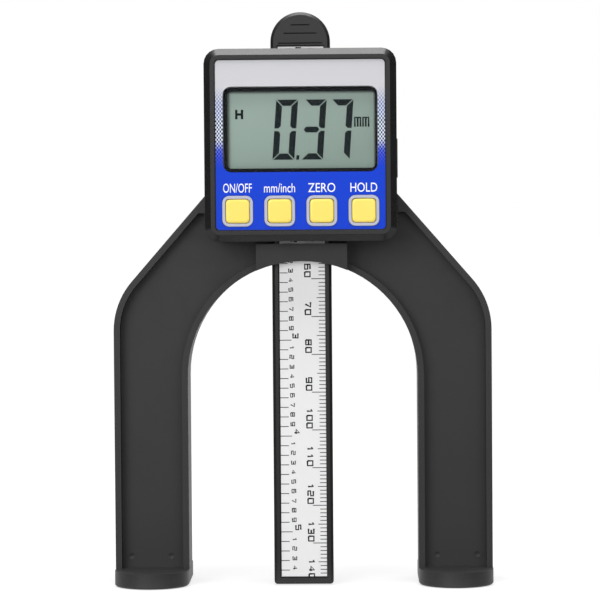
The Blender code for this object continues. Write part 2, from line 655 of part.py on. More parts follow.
def front_shell():
    """The module's front half, with its sloped bezel, sunk face, window and button openings."""
    black = finish("black_module_plastic", (0.03, 0.03, 0.032), 0.35)
    loops = [
        stand(module_outline(BEZEL_CHAMFER), MODULE_FRONT_Y),
        stand(module_outline(0.0), MODULE_FRONT_Y + BEZEL_CHAMFER),
        stand(module_outline(0.0), PARTING_Y),
    ]
    shell = loft("front_shell", loops, black)
    cavity = rounded((0.0, MODULE_Z), CAVITY_HALF, CAVITY_HALF, MODULE_CORNER - MODULE_WALL)
    cut(shell, slab("front_cavity_cut", cavity, FACE_BACK_Y, PARTING_Y + OVERRUN))
    face = rounded((0.0, MODULE_Z), OVERLAY_HALF + THIN_GAP, OVERLAY_HALF + THIN_GAP, OVERLAY_CORNER)
    outside_y = MODULE_FRONT_Y - OVERRUN
    cut(shell, slab("face_sink_cut", face, outside_y, FACE_FRONT_Y))
    inside_y = FACE_BACK_Y + OVERRUN
    cut(shell, slab("window_cut", window_outline(THIN_GAP), outside_y, inside_y))
    for index, x in enumerate(BUTTON_PLACES):
        cut(shell, slab(f"collar_hole_cut_{index}", collar_outline(x, THIN_GAP), outside_y, inside_y))
    for index, place in enumerate(small_screw_places()):
        boss = SMALL_SCREW_RADIUS + SCREW_CLEARANCE + SMALL_BOSS_WALL
        root_y = FACE_BACK_Y - FACE_WALL / 2
        end_y = PARTING_Y - THIN_GAP
        add(shell, turned(f"front_boss_form_{index}", place, [(boss, root_y), (boss, end_y)]))
        bore = SMALL_SCREW_RADIUS + SCREW_CLEARANCE
        profile = [(bore, FACE_BACK_Y), (bore, PARTING_Y + OVERRUN)]
        cut(shell, turned(f"front_bore_cut_{index}", place, profile))
    return shell


def back_shell():
    """The module's rear half, with the blade's groove, the drawer's slot and the screw bosses."""
    black = finish("black_back_plastic", (0.032, 0.032, 0.034), 0.5)
    front_y = PARTING_Y + THIN_GAP
    shell = slab("back_shell", module_outline(0.0), front_y, MODULE_BACK_Y, black)
    bay_inner = GROOVE_HALF + GROOVE_WALL
    lid_y = GROOVE_FLOOR_Y - GROOVE_WALL
    low = MODULE_Z - CAVITY_HALF
    high = MODULE_Z + CAVITY_HALF
    open_y = front_y - OVERRUN
    corner = MODULE_CORNER - MODULE_WALL
    reach = CAVITY_HALF - corner
    left_bay = [(-bay_inner, low), (-bay_inner, high)]
    left_bay += arc((-reach, MODULE_Z + reach), corner, math.pi / 2, math.pi, CORNER_STEPS)
    left_bay += arc((-reach, MODULE_Z - reach), corner, math.pi, 1.5 * math.pi, CORNER_STEPS)
    cut(shell, slab("left_bay_cut", left_bay, open_y, REAR_INNER_Y))
    cut(shell, slab("right_bay_cut", mirrored(left_bay), open_y, REAR_INNER_Y))
    middle = (-bay_inner - THIN_GAP, bay_inner + THIN_GAP)
    cut(shell, block("board_bay_cut", middle, (open_y, lid_y), (low, high)))
    groove_z = (MODULE_LOW_Z - OVERRUN, MODULE_TOP_Z + OVERRUN)
    groove_y = (GROOVE_FLOOR_Y, MODULE_BACK_Y + OVERRUN)
    cut(shell, block("groove_cut", (-GROOVE_HALF, GROOVE_HALF), groove_y, groove_z))
    sensor = sensor_outline(THIN_GAP)
    cut(shell, slab("sensor_window_cut", sensor, lid_y - OVERRUN, GROOVE_FLOOR_Y + OVERRUN))

    slot_low = DRAWER_Z - DRAWER_HALF - FIT_GAP
    slot_high = DRAWER_Z + DRAWER_HALF + FIT_GAP
    slot_y = (CELL_FRONT_Y - FIT_GAP, CELL_BACK_Y + FIT_GAP)
    slot_x = (CAVITY_HALF - OVERRUN, MODULE_SIZE / 2 + OVERRUN)
    cut(shell, block("drawer_slot_cut", slot_x, slot_y, (slot_low, slot_high)))
    runner_y = (REAR_INNER_Y - RUNNER_HEIGHT, MODULE_BACK_Y - REAR_WALL / 2)
    runner_x = (bay_inner - GROOVE_WALL / 2, CAVITY_HALF + MODULE_WALL / 2)
    lower = slot_low - THIN_GAP - RUNNER_THICKNESS
    for name, edge in (("lower", lower), ("upper", slot_high + THIN_GAP)):
        z_range = (edge, edge + RUNNER_THICKNESS)
        add(shell, block(f"{name}_runner_form", runner_x, runner_y, z_range))

    for index, place in enumerate(module_screw_places()):
        bore = SCREW_RADIUS + SCREW_CLEARANCE
        boss = bore + SCREW_BOSS_WALL
        end_y = MODULE_BACK_Y - SCREW_BITE - FIT_GAP
        root_y = MODULE_BACK_Y - REAR_WALL / 2
        add(shell, turned(f"screw_boss_form_{index}", place, [(boss, end_y), (boss, root_y)]))
        profile = [(bore, end_y - OVERRUN), (bore, MODULE_BACK_Y + OVERRUN)]
        cut(shell, turned(f"screw_bore_cut_{index}", place, profile))
    for index, place in enumerate(small_screw_places()):
        bore = SMALL_SCREW_RADIUS + SCREW_CLEARANCE
        boss = bore + SMALL_BOSS_WALL
        sink = SMALL_HEAD_RADIUS + SCREW_CLEARANCE
        root_y = MODULE_BACK_Y - REAR_WALL / 2
        sink_y = MODULE_BACK_Y - SMALL_HEAD_HEIGHT - FIT_GAP
        start_y = front_y + THIN_GAP
        add(shell, turned(f"corner_boss_form_{index}", place, [(boss, start_y), (boss, root_y)]))
        profile = [(bore, open_y), (bore, sink_y), (sink, sink_y), (sink, MODULE_BACK_Y + OVERRUN)]
        cut(shell, turned(f"corner_bore_cut_{index}", place, profile))
    return shell


def face_overlay():
    """The printed face sheet, open at the window and at the buttons."""
    ink = finish("face_overlay_print", (0.05, 0.09, 0.68), 0.35)
    corner = OVERLAY_CORNER - THIN_GAP
    outline = rounded((0.0, MODULE_Z), OVERLAY_HALF, OVERLAY_HALF, corner)
    sheet = slab("face_overlay", outline, OVERLAY_FRONT_Y, OVERLAY_BACK_Y, ink)
    through = (MODULE_FRONT_Y - OVERRUN, FACE_BACK_Y)
    cut(sheet, slab("overlay_window_cut", window_outline(THIN_GAP), *through))
    for index, x in enumerate(BUTTON_PLACES):
        cut(sheet, slab(f"overlay_key_cut_{index}", collar_outline(x, THIN_GAP), *through))
    return sheet


def display_stack():
    """The window lens, its black mask, the display glass, its holder and its contact strip."""
    clear = finish("clear_acrylic", (0.8, 0.85, 0.83), 0.08)
    ink = finish("mask_black_ink", (0.01, 0.01, 0.012), 0.3)
    glass = finish("display_glass", (0.28, 0.38, 0.32), 0.2)
    white = finish("holder_white_plastic", (0.75, 0.75, 0.73), 0.5)
    rubber = finish("contact_strip_rubber", (0.06, 0.06, 0.06), 0.8)
    lens_back = OVERLAY_FRONT_Y + LENS_THICKNESS
    slab("lcd_window", window_outline(-THIN_GAP), OVERLAY_FRONT_Y, lens_back, clear)

    mask_back = MASK_FRONT_Y + MASK_THICKNESS
    mask = slab("window_mask", window_outline(-THIN_GAP), MASK_FRONT_Y, mask_back, ink)
    view_half_height = (WINDOW_HEIGHT - MASK_LOW - MASK_TOP) / 2
    view_z = WINDOW_Z + (MASK_LOW - MASK_TOP) / 2
    view_x = (MASK_LEFT - MASK_RIGHT) / 2
    view_half_width = (WINDOW_WIDTH - MASK_LEFT - MASK_RIGHT) / 2
    view = rounded((view_x, view_z), view_half_width, view_half_height, VIEW_CORNER)
    cut(mask, slab("mask_view_cut", view, MASK_FRONT_Y - OVERRUN, mask_back + OVERRUN))

    width_range = (-LCD_HALF_WIDTH, LCD_HALF_WIDTH)
    height_range = (WINDOW_Z - LCD_HALF_HEIGHT, WINDOW_Z + LCD_HALF_HEIGHT)
    block("lcd_panel", width_range, (LCD_FRONT_Y, LCD_BACK_Y), height_range, glass)

    nest_half_width = LCD_HALF_WIDTH + THIN_GAP
    nest_half_height = LCD_HALF_HEIGHT + THIN_GAP
    outer_x = (-nest_half_width - HOLDER_WALL, nest_half_width + HOLDER_WALL)
    outer_z = (WINDOW_Z - nest_half_height - HOLDER_WALL, WINDOW_Z + nest_half_height + HOLDER_WALL)
    holder_back = BOARD_FRONT_Y - THIN_GAP
    holder = block("lcd_holder", outer_x, (HOLDER_FRONT_Y, holder_back), outer_z, white)
    nest_x = (-nest_half_width, nest_half_width)
    nest_z = (WINDOW_Z - nest_half_height, WINDOW_Z + nest_half_height)
    cut(holder, block("holder_nest_cut", nest_x, (HOLDER_FRONT_Y - OVERRUN, holder_back + OVERRUN), nest_z))

    strip_z = (WINDOW_Z - LCD_HALF_HEIGHT, WINDOW_Z - LCD_HALF_HEIGHT + STRIP_HEIGHT)
    strip_half = min(LCD_HALF_WIDTH, BOARD_HALF_WIDTH) - HOLDER_WALL
    strip_y = (LCD_BACK_Y + THIN_GAP, BOARD_FRONT_Y - THIN_GAP)
    block("lcd_contact_strip", (-strip_half, strip_half), strip_y, strip_z, rubber)


def sensor_outline(grow):
    """The sensor board from the front, grown on every side."""
    half_width = SENSOR_WIDTH / 2 + grow
    half_height = MODULE_SIZE / 2 - SENSOR_MARGIN + grow
    return box_outline(-half_width, half_width, MODULE_Z - half_height, MODULE_Z + half_height)


def electronics():
    """The main board with its chip, crystal and key domes, and the sensor board behind it."""
    green = finish("circuit_board_green", (0.02, 0.16, 0.06), 0.4)
    epoxy = finish("chip_epoxy", (0.01, 0.01, 0.01), 0.3)
    steel = finish("dome_steel", (0.62, 0.62, 0.6), 0.3, 1.0)
    black = finish("connector_plastic", (0.02, 0.02, 0.02), 0.5)
    gold = finish("sensor_board_copper", (0.5, 0.36, 0.12), 0.35)
    half_height = MODULE_SIZE / 2 - BOARD_MARGIN
    board_z = (MODULE_Z - half_height, MODULE_Z + half_height)
    board_x = (-BOARD_HALF_WIDTH, BOARD_HALF_WIDTH)
    block("circuit_board", board_x, (BOARD_FRONT_Y, BOARD_BACK_Y), board_z, green)

    slab("sensor_board", sensor_outline(0.0), SENSOR_FRONT_Y, SENSOR_BACK_Y, gold)
    plug_half = CONNECTOR_WIDTH / 2
    plug_low = MODULE_LOW_Z + SENSOR_MARGIN + CONNECTOR_HEIGHT
    plug_y = (BOARD_BACK_Y + THIN_GAP, SENSOR_FRONT_Y - THIN_GAP)
    plug_z = (plug_low, plug_low + CONNECTOR_HEIGHT)
    block("board_connector", (-plug_half, plug_half), plug_y, plug_z, black)

    bay_x = -(GROOVE_HALF + GROOVE_WALL + BOARD_HALF_WIDTH) / 2
    chip_y = BOARD_BACK_Y + THIN_GAP
    chip_profile = [
        (CHIP_RADIUS * math.cos(angle), chip_y + CHIP_HEIGHT * math.sin(angle))
        for angle in (0.0, CHIP_DOME_ANGLE / 2, CHIP_DOME_ANGLE)
    ]
    turned("chip_cover", (bay_x, MODULE_Z), chip_profile, epoxy)
    can_x = bay_x + CRYSTAL_LENGTH / 2
    can_z = MODULE_Z + 2 * CHIP_RADIUS
    can_y = BOARD_BACK_Y + THIN_GAP + CRYSTAL_RADIUS
    ring = circle((can_y, can_z), CRYSTAL_RADIUS, HOLE_STEPS // 2 + 2)
    ends = [[(x, y, z) for y, z in ring] for x in (can_x - CRYSTAL_LENGTH, can_x)]
    loft("quartz_crystal", ends, steel)

    radius = BUTTON_SIZE / 2 - DOME_INSET
    profile = [(radius / 2, -DOME_HEIGHT), (radius, -DOME_HEIGHT / 2), (radius, 0.0)]
    dome = turned("dome", (0.0, 0.0), profile, steel)
    names = [f"key_dome_{index + 1}" for index in range(len(BUTTON_PLACES))]
    copies(dome, names, [(x, BOARD_FRONT_Y - THIN_GAP, BUTTON_Z) for x in BUTTON_PLACES])


def key_guide():
    """The light grey plate behind the face, with a square collar round each button."""
    grey = finish("collar_grey_plastic", (0.62, 0.62, 0.66), 0.4)
    half_height = COLLAR_OUTER / 2 + KEY_PLATE_MARGIN
    reach = BUTTON_PLACES[-1] + half_height
    outline = rounded((0.0, BUTTON_Z), reach, half_height, COLLAR_CORNER + KEY_PLATE_MARGIN)
    plate = slab("key_guide", outline, KEY_PLATE_FRONT_Y, KEY_PLATE_BACK_Y, grey)
    root_y = KEY_PLATE_BACK_Y - KEY_PLATE_THICKNESS / 2
    for index, x in enumerate(BUTTON_PLACES):
        add(plate, slab(f"collar_form_{index}", collar_outline(x, 0.0), COLLAR_FRONT_Y, root_y))
    inner = COLLAR_INNER / 2
    corner = COLLAR_CORNER - COLLAR_WALL
    for index, x in enumerate(BUTTON_PLACES):
        hole = rounded((x, BUTTON_Z), inner, inner, corner)
        y_range = (COLLAR_FRONT_Y - OVERRUN, KEY_PLATE_BACK_Y + OVERRUN)
        cut(plate, slab(f"collar_bore_cut_{index}", hole, *y_range))
    return plate


def buttons():
    """Four yellow caps, each with a softly crowned front and a flange that keeps it in."""
    yellow = finish("button_yellow_plastic", (0.95, 0.76, 0.14), 0.4)
    half = BUTTON_SIZE / 2
    levels = [
        (half - 2 * BUTTON_CROWN, BUTTON_CORNER, BUTTON_FRONT_Y),
        (half - BUTTON_CROWN / 2, BUTTON_CORNER, BUTTON_FRONT_Y + BUTTON_CROWN / 3),
        (half, BUTTON_CORNER, BUTTON_FRONT_Y + BUTTON_CROWN),
        (half, BUTTON_CORNER, FLANGE_FRONT_Y),
        (half + BUTTON_FLANGE, BUTTON_CORNER, FLANGE_FRONT_Y),
        (half + BUTTON_FLANGE, BUTTON_CORNER, FLANGE_BACK_Y),
    ]
    for name, x in zip(("button_on_off", "button_unit", "button_zero", "button_hold"), BUTTON_PLACES):
        axis = bpy.data.objects.new(f"{name}_axis", None)
        axis.location = (x, FLANGE_BACK_Y, BUTTON_Z)
        bpy.context.scene.collection.objects.link(axis)
        loops = []
        for reach, corner, y in levels:
            loops.append(stand(rounded((0.0, 0.0), reach, reach, corner), y - FLANGE_BACK_Y))
        cap = loft(name, loops, yellow)
        cap.parent = axis


def battery_group():
    """The drawer in the module's right side, the button cell in it and the two contacts."""
    black = finish("black_drawer_plastic", (0.03, 0.03, 0.032), 0.4)
    steel = finish("cell_steel", (0.7, 0.7, 0.68), 0.25, 1.0)
    nickel = finish("contact_nickel", (0.66, 0.62, 0.55), 0.3, 1.0)
    outer_x = MODULE_SIZE / 2
    middle_x = (DRAWER_INNER_X + outer_x) / 2
    half_length = (outer_x - DRAWER_INNER_X) / 2
    outline = rounded((middle_x, DRAWER_Z), half_length, DRAWER_HALF, DRAWER_CORNER)
    drawer = slab("battery_drawer", outline, CELL_FRONT_Y, CELL_BACK_Y, black)
    nest = circle((CELL_X, DRAWER_Z), CELL_RADIUS + FIT_GAP, ARC_STEPS)
    through = (CELL_FRONT_Y - OVERRUN, CELL_BACK_Y + OVERRUN)
    cut(drawer, slab("cell_nest_cut", nest, *through))
    lip_y = (CELL_FRONT_Y + CELL_BACK_Y - LIP_DEPTH) / 2
    lip_low = DRAWER_Z - DRAWER_HALF + LIP_FROM_BOTTOM
    lip_x = outer_x + LIP_REACH
    root_x = outer_x - DRAWER_OUTER_WALL / 2
    lip_top = DRAWER_Z + DRAWER_HALF - LIP_FROM_TOP
    lip = [(lip_x, lip_low), (lip_x, lip_top - LIP_REACH), (outer_x, lip_top)]
    lip += [(root_x, lip_top), (root_x, lip_low)]
    add(drawer, slab("finger_lip_form", lip, lip_y, lip_y + LIP_DEPTH))

    small = CELL_RADIUS - CELL_BEVEL
    profile = [
        (small, CELL_FRONT_Y),
        (small, CELL_FRONT_Y + CELL_BEVEL),
        (CELL_RADIUS, CELL_FRONT_Y + 2 * CELL_BEVEL),
        (CELL_RADIUS, CELL_BACK_Y),
    ]
    cell = turned("button_cell", (CELL_X, DRAWER_Z), profile, steel, ARC_STEPS)
    hang("drawer_axis", (CELL_X, (CELL_FRONT_Y + CELL_BACK_Y) / 2, DRAWER_Z), [drawer, cell])

    contact_strip("negative_contact", BOARD_BACK_Y + THIN_GAP, CELL_FRONT_Y, nickel)
    contact_strip("positive_contact", REAR_INNER_Y - THIN_GAP, CELL_BACK_Y, nickel)


def contact_strip(name, root_y, cell_y, material):
    """A flat spring contact whose middle rises from its root plane almost to the cell."""
    half = CELL_RADIUS - CONTACT_INSET
    quarter = half / 2
    thick = math.copysign(CONTACT_THICKNESS, cell_y - root_y)
    rise = cell_y - root_y - thick - math.copysign(THIN_GAP, thick)
    lower = [(-half, 0.0), (-quarter, 0.0), (0.0, rise), (quarter, 0.0), (half, 0.0)]
    upper = [(x, y + thick) for x, y in reversed(lower)]
    points = [(CELL_X + x, root_y + y) for x, y in lower + upper]
    low = DRAWER_Z - CONTACT_WIDTH / 2
    return loft(name, [lay(points, low), lay(points, low + CONTACT_WIDTH)], material)


def screws():
    """The four screws through the tower, and the four small ones that close the module."""
    zinc = finish("screw_zinc", (0.55, 0.55, 0.53), 0.35, 1.0)
    length = SCREW_HEAD_Y - MODULE_BACK_Y + SCREW_BITE
    profile = [(SCREW_RADIUS, -length), (SCREW_RADIUS, 0.0), (SCREW_HEAD_RADIUS, 0.0)]
    large = turned("screw", (0.0, 0.0), [*profile, (SCREW_HEAD_RADIUS, SCREW_HEAD_HEIGHT)], zinc)
    places = [(x, SCREW_HEAD_Y, z) for x, z in module_screw_places()]
    copies(large, [f"module_screw_{index + 1}" for index in range(len(places))], places)
    shank = SMALL_SCREW_LENGTH - SMALL_HEAD_HEIGHT
    profile = [(SMALL_SCREW_RADIUS, -shank), (SMALL_SCREW_RADIUS, 0.0), (SMALL_HEAD_RADIUS, 0.0)]
    small = turned("screw", (0.0, 0.0), [*profile, (SMALL_HEAD_RADIUS, SMALL_HEAD_HEIGHT)], zinc)
    seat_y = MODULE_BACK_Y - THIN_GAP - SMALL_HEAD_HEIGHT
    places = [(x, seat_y, z) for x, z in small_screw_places()]
    copies(small, [f"shell_screw_{index + 1}" for index in range(len(places))], places)


def main():
    """Builds the whole gauge at rest, its blade all but on the table."""
    clear_scene()
    arch_frame()
    foot_magnets()
    friction_spring()
    blade = blade_body()
    board, label = scale_strip()
    hang("blade_axis", (0.0, (BLADE_FRONT_Y + BLADE_BACK_Y) / 2, TIP_LIFT), [blade, board, label])
    front_shell()
    back_shell()
    face_overlay()
    display_stack()
    electronics()
    key_guide()
    buttons()
    battery_group()
    screws()


if __name__ == "__main__":
    main()
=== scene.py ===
"""Looks of a digital height gauge: black arch frame, display module, ruled blade and a plain white studio."""

import logging
import math
from contextlib import contextmanager
from dataclasses import dataclass, field
from enum import Enum
from typing import Callable, Iterator

import bpy
from mathutils import Matrix, Vector


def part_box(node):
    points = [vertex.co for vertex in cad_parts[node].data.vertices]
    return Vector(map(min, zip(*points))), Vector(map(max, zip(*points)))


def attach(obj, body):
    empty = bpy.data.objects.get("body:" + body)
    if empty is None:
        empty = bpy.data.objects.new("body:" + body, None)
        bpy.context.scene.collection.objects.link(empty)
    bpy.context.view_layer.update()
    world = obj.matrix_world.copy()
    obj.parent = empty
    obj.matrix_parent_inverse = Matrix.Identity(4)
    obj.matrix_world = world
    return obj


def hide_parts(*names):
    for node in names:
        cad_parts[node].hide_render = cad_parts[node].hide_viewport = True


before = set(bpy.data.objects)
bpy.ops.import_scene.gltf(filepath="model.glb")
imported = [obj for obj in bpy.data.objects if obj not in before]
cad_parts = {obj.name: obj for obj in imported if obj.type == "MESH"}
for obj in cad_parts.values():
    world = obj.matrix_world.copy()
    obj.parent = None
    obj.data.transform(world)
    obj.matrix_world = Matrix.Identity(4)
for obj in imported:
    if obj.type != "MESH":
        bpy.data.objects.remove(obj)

Piece = bpy.types.Object
Output = bpy.types.NodeSocket
Palette = dict[str, bpy.types.Material]
Triple = tuple[float, float, float]

LOG = logging.getLogger("height_gauge")
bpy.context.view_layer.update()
MM = 0.001
INCH_MM = 25.4
WHITE = (1.0, 1.0, 1.0, 1.0)
SAME_PLACE = 1e-6  # metres within which two places are one
FORWARD = -0.9  # a face whose normal has less than this along Y looks forward
INK_MM = 0.012  # thickness of a printed layer
INK_GAP_MM = 0.004  # what keeps it off the face under it
WELD_MM = 0.002  # points of a solid's mesh nearer than this are one
FLAT_DEG = 0.4  # its faces that turn less than this are one flat
ROUNDED_DEG = 38.0  # shading stays sharp where a rounded piece turns more than this
METAL_DEG = 50.0  # an edge of a turned metal piece is sharp from here on
FINE = 3  # faces across a rounded edge that shows


class Body(Enum):
    """The rigid bodies of the gauge, by the names their joints use."""

    FRAME = "frame"
    BLADE = "blade"
    DRAWER = "drawer"
    BUTTON_ON_OFF = "button_on_off"
    BUTTON_UNIT = "button_unit"
    BUTTON_ZERO = "button_zero"
    BUTTON_HOLD = "button_hold"


class Element(Enum):
    """What edit mode selects: the operators' name for it, and the mesh's name for the list of them."""

    POINTS = ("VERT", "vertices")
    EDGES = ("EDGE", "edges")
    FACES = ("FACE", "polygons")


def linear(code: str) -> tuple[float, float, float, float]:
    """Turns an opaque sRGB hex colour into linear light.

    Args:
        code: Six hex digits, such as "2a4fd8".

    Returns:
        Red, green, blue and an alpha of 1.
    """
    shares = [int(code[index:index + 2], 16) / 255 for index in (0, 2, 4)]
    light = [share / 12.92 if share <= 0.04045 else ((share + 0.055) / 1.055) ** 2.4 for share in shares]
    return (*light, 1.0)


def per_metre(size_mm: float) -> float:
    """Texture scale at which one feature is about this many millimetres across."""
    return 1.0 / (size_mm * MM)


class Graph:
    """A node tree, which one small function fills."""

    def __init__(self, tree: bpy.types.NodeTree) -> None:
        """Takes the tree that it fills."""
        self.tree = tree

    def feed(self, socket: Output, source: object) -> None:
        """Feeds a socket.

        Args:
            socket: Input of a node in this tree.
            source: A node, whose first output feeds it, or an output, or a value.
        """
        if isinstance(source, bpy.types.Node):
            source = source.outputs[0]
        if isinstance(source, Output):
            self.tree.links.new(source, socket)
        else:
            socket.default_value = source

    def add(self, kind: str, settings: dict | None = None) -> bpy.types.Node:
        """Adds a node with its settings and links.

        Args:
            kind: Blender's name of the node type, after "ShaderNode".
            settings: Socket names, socket numbers or property names, each with its value or what feeds it.

        Returns:
            The new node.
        """
        node = self.tree.nodes.new(f"ShaderNode{kind}")
        for key, source in (settings or {}).items():
            if isinstance(key, int) or key in node.inputs:
                self.feed(node.inputs[key], source)
            else:
                setattr(node, key, source)
        return node


class Finish(Graph):
    """A new material with a Principled shader, whose patterns follow the object's own coordinates."""

    def __init__(self, name: str, **constants: object) -> None:
        """Makes the material.

        Args:
            name: Its name.
            **constants: The shader's socket names in snake case, with their values.
        """
        self.material = bpy.data.materials.new(name)
        self.material.use_nodes = True
        super().__init__(self.material.node_tree)
        self.shader = self.tree.nodes["Principled BSDF"]
        self.place = self.add("TexCoord").outputs["Object"]
        self.shade(**constants)

    def shade(self, **sources: object) -> None:
        """Feeds the shader's sockets, named in snake case, each with a value, a node or an output."""
        for key, source in sources.items():
            self.feed(self.shader.inputs[key.replace("_", " ").title().replace("Ior", "IOR")], source)


@dataclass(frozen=True)
class MouldedPlastic:
    """ABS from a steel mould: its spark-eroded or polished wall gives a fine even grain and a soft sheen."""

    name: str
    dark: str
    light: str
    roughness: float
    grain_mm: float = 0.35
    grain_height_mm: float = 0.006
    flow_mm: float = 22.0
    gloss: float = 0.5
    ior: float = 1.53
    sheen_spread: tuple[float, float] = (-0.02, 0.03)

    def material(self) -> bpy.types.Material:
        """Builds the finish: flow marks in the colour, uneven sheen, and the mould's grain as bump.

        Returns:
            The material.
        """
        finish = Finish(self.name, ior=self.ior, specular_ior_level=self.gloss)
        place, add = finish.place, finish.add
        flow = add("TexNoise", {"Scale": per_metre(self.flow_mm), "Detail": 3.0, "Roughness": 0.6, "Vector": place})
        rub = add("TexNoise", {"Scale": per_metre(self.flow_mm / 5), "Detail": 4.0, "Vector": place})
        grain = add("TexNoise", {"Scale": per_metre(self.grain_mm), "Detail": 2.0, "Vector": place})
        colour = add("Mix", {"data_type": "RGBA", 0: flow, 6: linear(self.dark), 7: linear(self.light)})
        low, high = (self.roughness + change for change in self.sheen_spread)
        finish.shade(
            base_color=colour.outputs[2],
            roughness=add("MapRange", {"Value": rub, "From Min": 0.3, "From Max": 0.7, "To Min": low, "To Max": high}),
            normal=add("Bump", {"Strength": 0.8, "Distance": self.grain_height_mm * MM, "Height": grain}),
        )
        return finish.material


@dataclass(frozen=True)
class PlatedMetal:
    """Nickel, zinc or bronze strip and wire: drawn or stamped, so fine scratches run one way in its sheen."""

    name: str
    colour: str
    tint: str
    roughness: float
    plating_mm: float = 3.0
    scratch_mm: float = 0.96  # an eighth of this on the real metal, drawn coarser so that it shows
    scratch_height_mm: float = 0.002
    stretch: Triple = (1.0, 1.0, 12.0)
    sheen_spread: tuple[float, float] = (-0.08, 0.1)

    def material(self) -> bpy.types.Material:
        """Builds the finish: scratches stretched along the drawing, and faint uneven plating.

        Returns:
            The material.
        """
        finish = Finish(self.name, metallic=1.0)
        place, add = finish.place, finish.add
        along = add("Mapping", {"Scale": self.stretch, "Vector": place})
        scratch = add("TexNoise", {"Scale": per_metre(self.scratch_mm), "Detail": 4.0, "Vector": along})
        plating = add("TexNoise", {"Scale": per_metre(self.plating_mm), "Detail": 2.0, "Vector": place})
        colour = add("Mix", {"data_type": "RGBA", 0: plating, 6: linear(self.colour), 7: linear(self.tint)})
        low, high = (self.roughness + change for change in self.sheen_spread)
        finish.shade(
            base_color=colour.outputs[2],
            roughness=add("MapRange", {"Value": scratch, "To Min": low, "To Max": high}),
            normal=add("Bump", {"Strength": 0.4, "Distance": self.scratch_height_mm * MM, "Height": scratch}),
        )
        return finish.material


@dataclass(frozen=True)
class FadedPrint:
    """Screen-printed film: silver at the top turns to blue through a halftone of dots, inside a thin dark edge of
    painted shadow where the bezel shades it.

    Both runs are depths below the film's top edge in millimetres, each with a mixed ink: silver, the paler or darker
    halftone between, and the full blue at the bottom.
    """

    name: str
    centre_z_mm: float
    half_mm: float
    corner_mm: float = 1.2
    # Painted shadow of the bezel along the film's edge: its width, the share of it at full dark, and its colour.
    edge_mm: float = 0.2
    edge_core_share: float = 0.6
    edge: str = "1c1c22"
    dot_pitch_mm: float = 0.8
    dot_rise_mm: float = 1.06
    dot_blur: tuple[float, float] = (-0.04, 0.06)
    depth_mm: float = 28.0
    gloss: float = 0.2
    peel_mm: float = 1.2
    peel_height_mm: float = 0.004
    ground: tuple[tuple[float, str], ...] = (
        (7.0, "ccccd0"), (12.0, "ccd4f0"), (17.0, "e4f0ff"), (21.0, "e0e8ff"), (23.5, "6078e8"), (25.5, "3c54e0"),
        (28.0, "003ccc"),
    )
    dots: tuple[tuple[float, str], ...] = (
        (7.0, "ccccd0"), (11.0, "747c98"), (14.0, "545c80"), (16.0, "080c38"), (21.0, "000018"), (24.0, "00048c"),
        (28.0, "003ccc"),
    )

    def material(self) -> bpy.types.Material:
        """Builds the print: two colour runs, one inside a centred dot grid and one around it, darkened at the film's
        edge to a painted shadow.

        Returns:
            The material.
        """
        finish = Finish(self.name, roughness=0.38, ior=1.5, specular_ior_level=self.gloss)
        place, add = finish.place, finish.add
        parts = add("SeparateXYZ", {0: place}).outputs
        top = (self.centre_z_mm + self.half_mm) * MM
        share = add("MapRange", {"Value": parts[2], "From Min": top, "From Max": top - self.depth_mm * MM})
        waves = []
        for axis, pitch_mm in ((0, self.dot_pitch_mm), (2, self.dot_rise_mm)):
            turn = add("Math", {"operation": "MULTIPLY", 0: parts[axis], 1: math.tau / (pitch_mm * MM)})
            waves.append(add("Math", {"operation": "COSINE", 0: turn}))
        both = add("Math", {"operation": "MULTIPLY", 0: waves[0], 1: waves[1]})
        inked = add("MapRange", {"Value": both, "From Min": self.dot_blur[0], "From Max": self.dot_blur[1]})
        runs = {}
        for index, stops in ((6, self.ground), (7, self.dots)):
            runs[index] = add("ValToRGB", {0: share})
            points = runs[index].color_ramp.elements
            for number, (depth, code) in enumerate(stops):
                point = points[number] if number < 2 else points.new(depth / self.depth_mm)
                point.position = depth / self.depth_mm
                point.color = linear(code)
        printed = add("Mix", {"data_type": "RGBA", 0: inked, **runs})
        middle = add("VectorMath", {"operation": "SUBTRACT", 0: place, 1: (0.0, 0.0, self.centre_z_mm * MM)})
        size = add("VectorMath", {"operation": "ABSOLUTE", 0: middle})
        inner = (self.half_mm - self.corner_mm) * MM
        past = add("VectorMath", {"operation": "SUBTRACT", 0: size, 1: (inner, 1.0, inner)})
        outside = add("VectorMath", {"operation": "MAXIMUM", 0: past, 1: (0.0, 0.0, 0.0)})
        reach = add("VectorMath", {"operation": "LENGTH", 0: outside}).outputs["Value"]
        # Painted shadow: the print darkens to the edge colour close to the film's rounded outline.
        starts, full = (self.corner_mm - self.edge_mm * part for part in (1.0, self.edge_core_share))
        edge_shadow_share = add("MapRange", {"Value": reach, "From Min": starts * MM, "From Max": full * MM})
        shadow_edged_print = add("Mix", {"data_type": "RGBA", 0: edge_shadow_share, 6: printed.outputs[2], 7: linear(self.edge)})
        peel = add("TexNoise", {"Scale": per_metre(self.peel_mm), "Detail": 2.0, "Vector": place})
        finish.shade(
            base_color=shadow_edged_print.outputs[2],
            normal=add("Bump", {"Strength": 0.25, "Distance": self.peel_height_mm * MM, "Height": peel}),
        )
        return finish.material


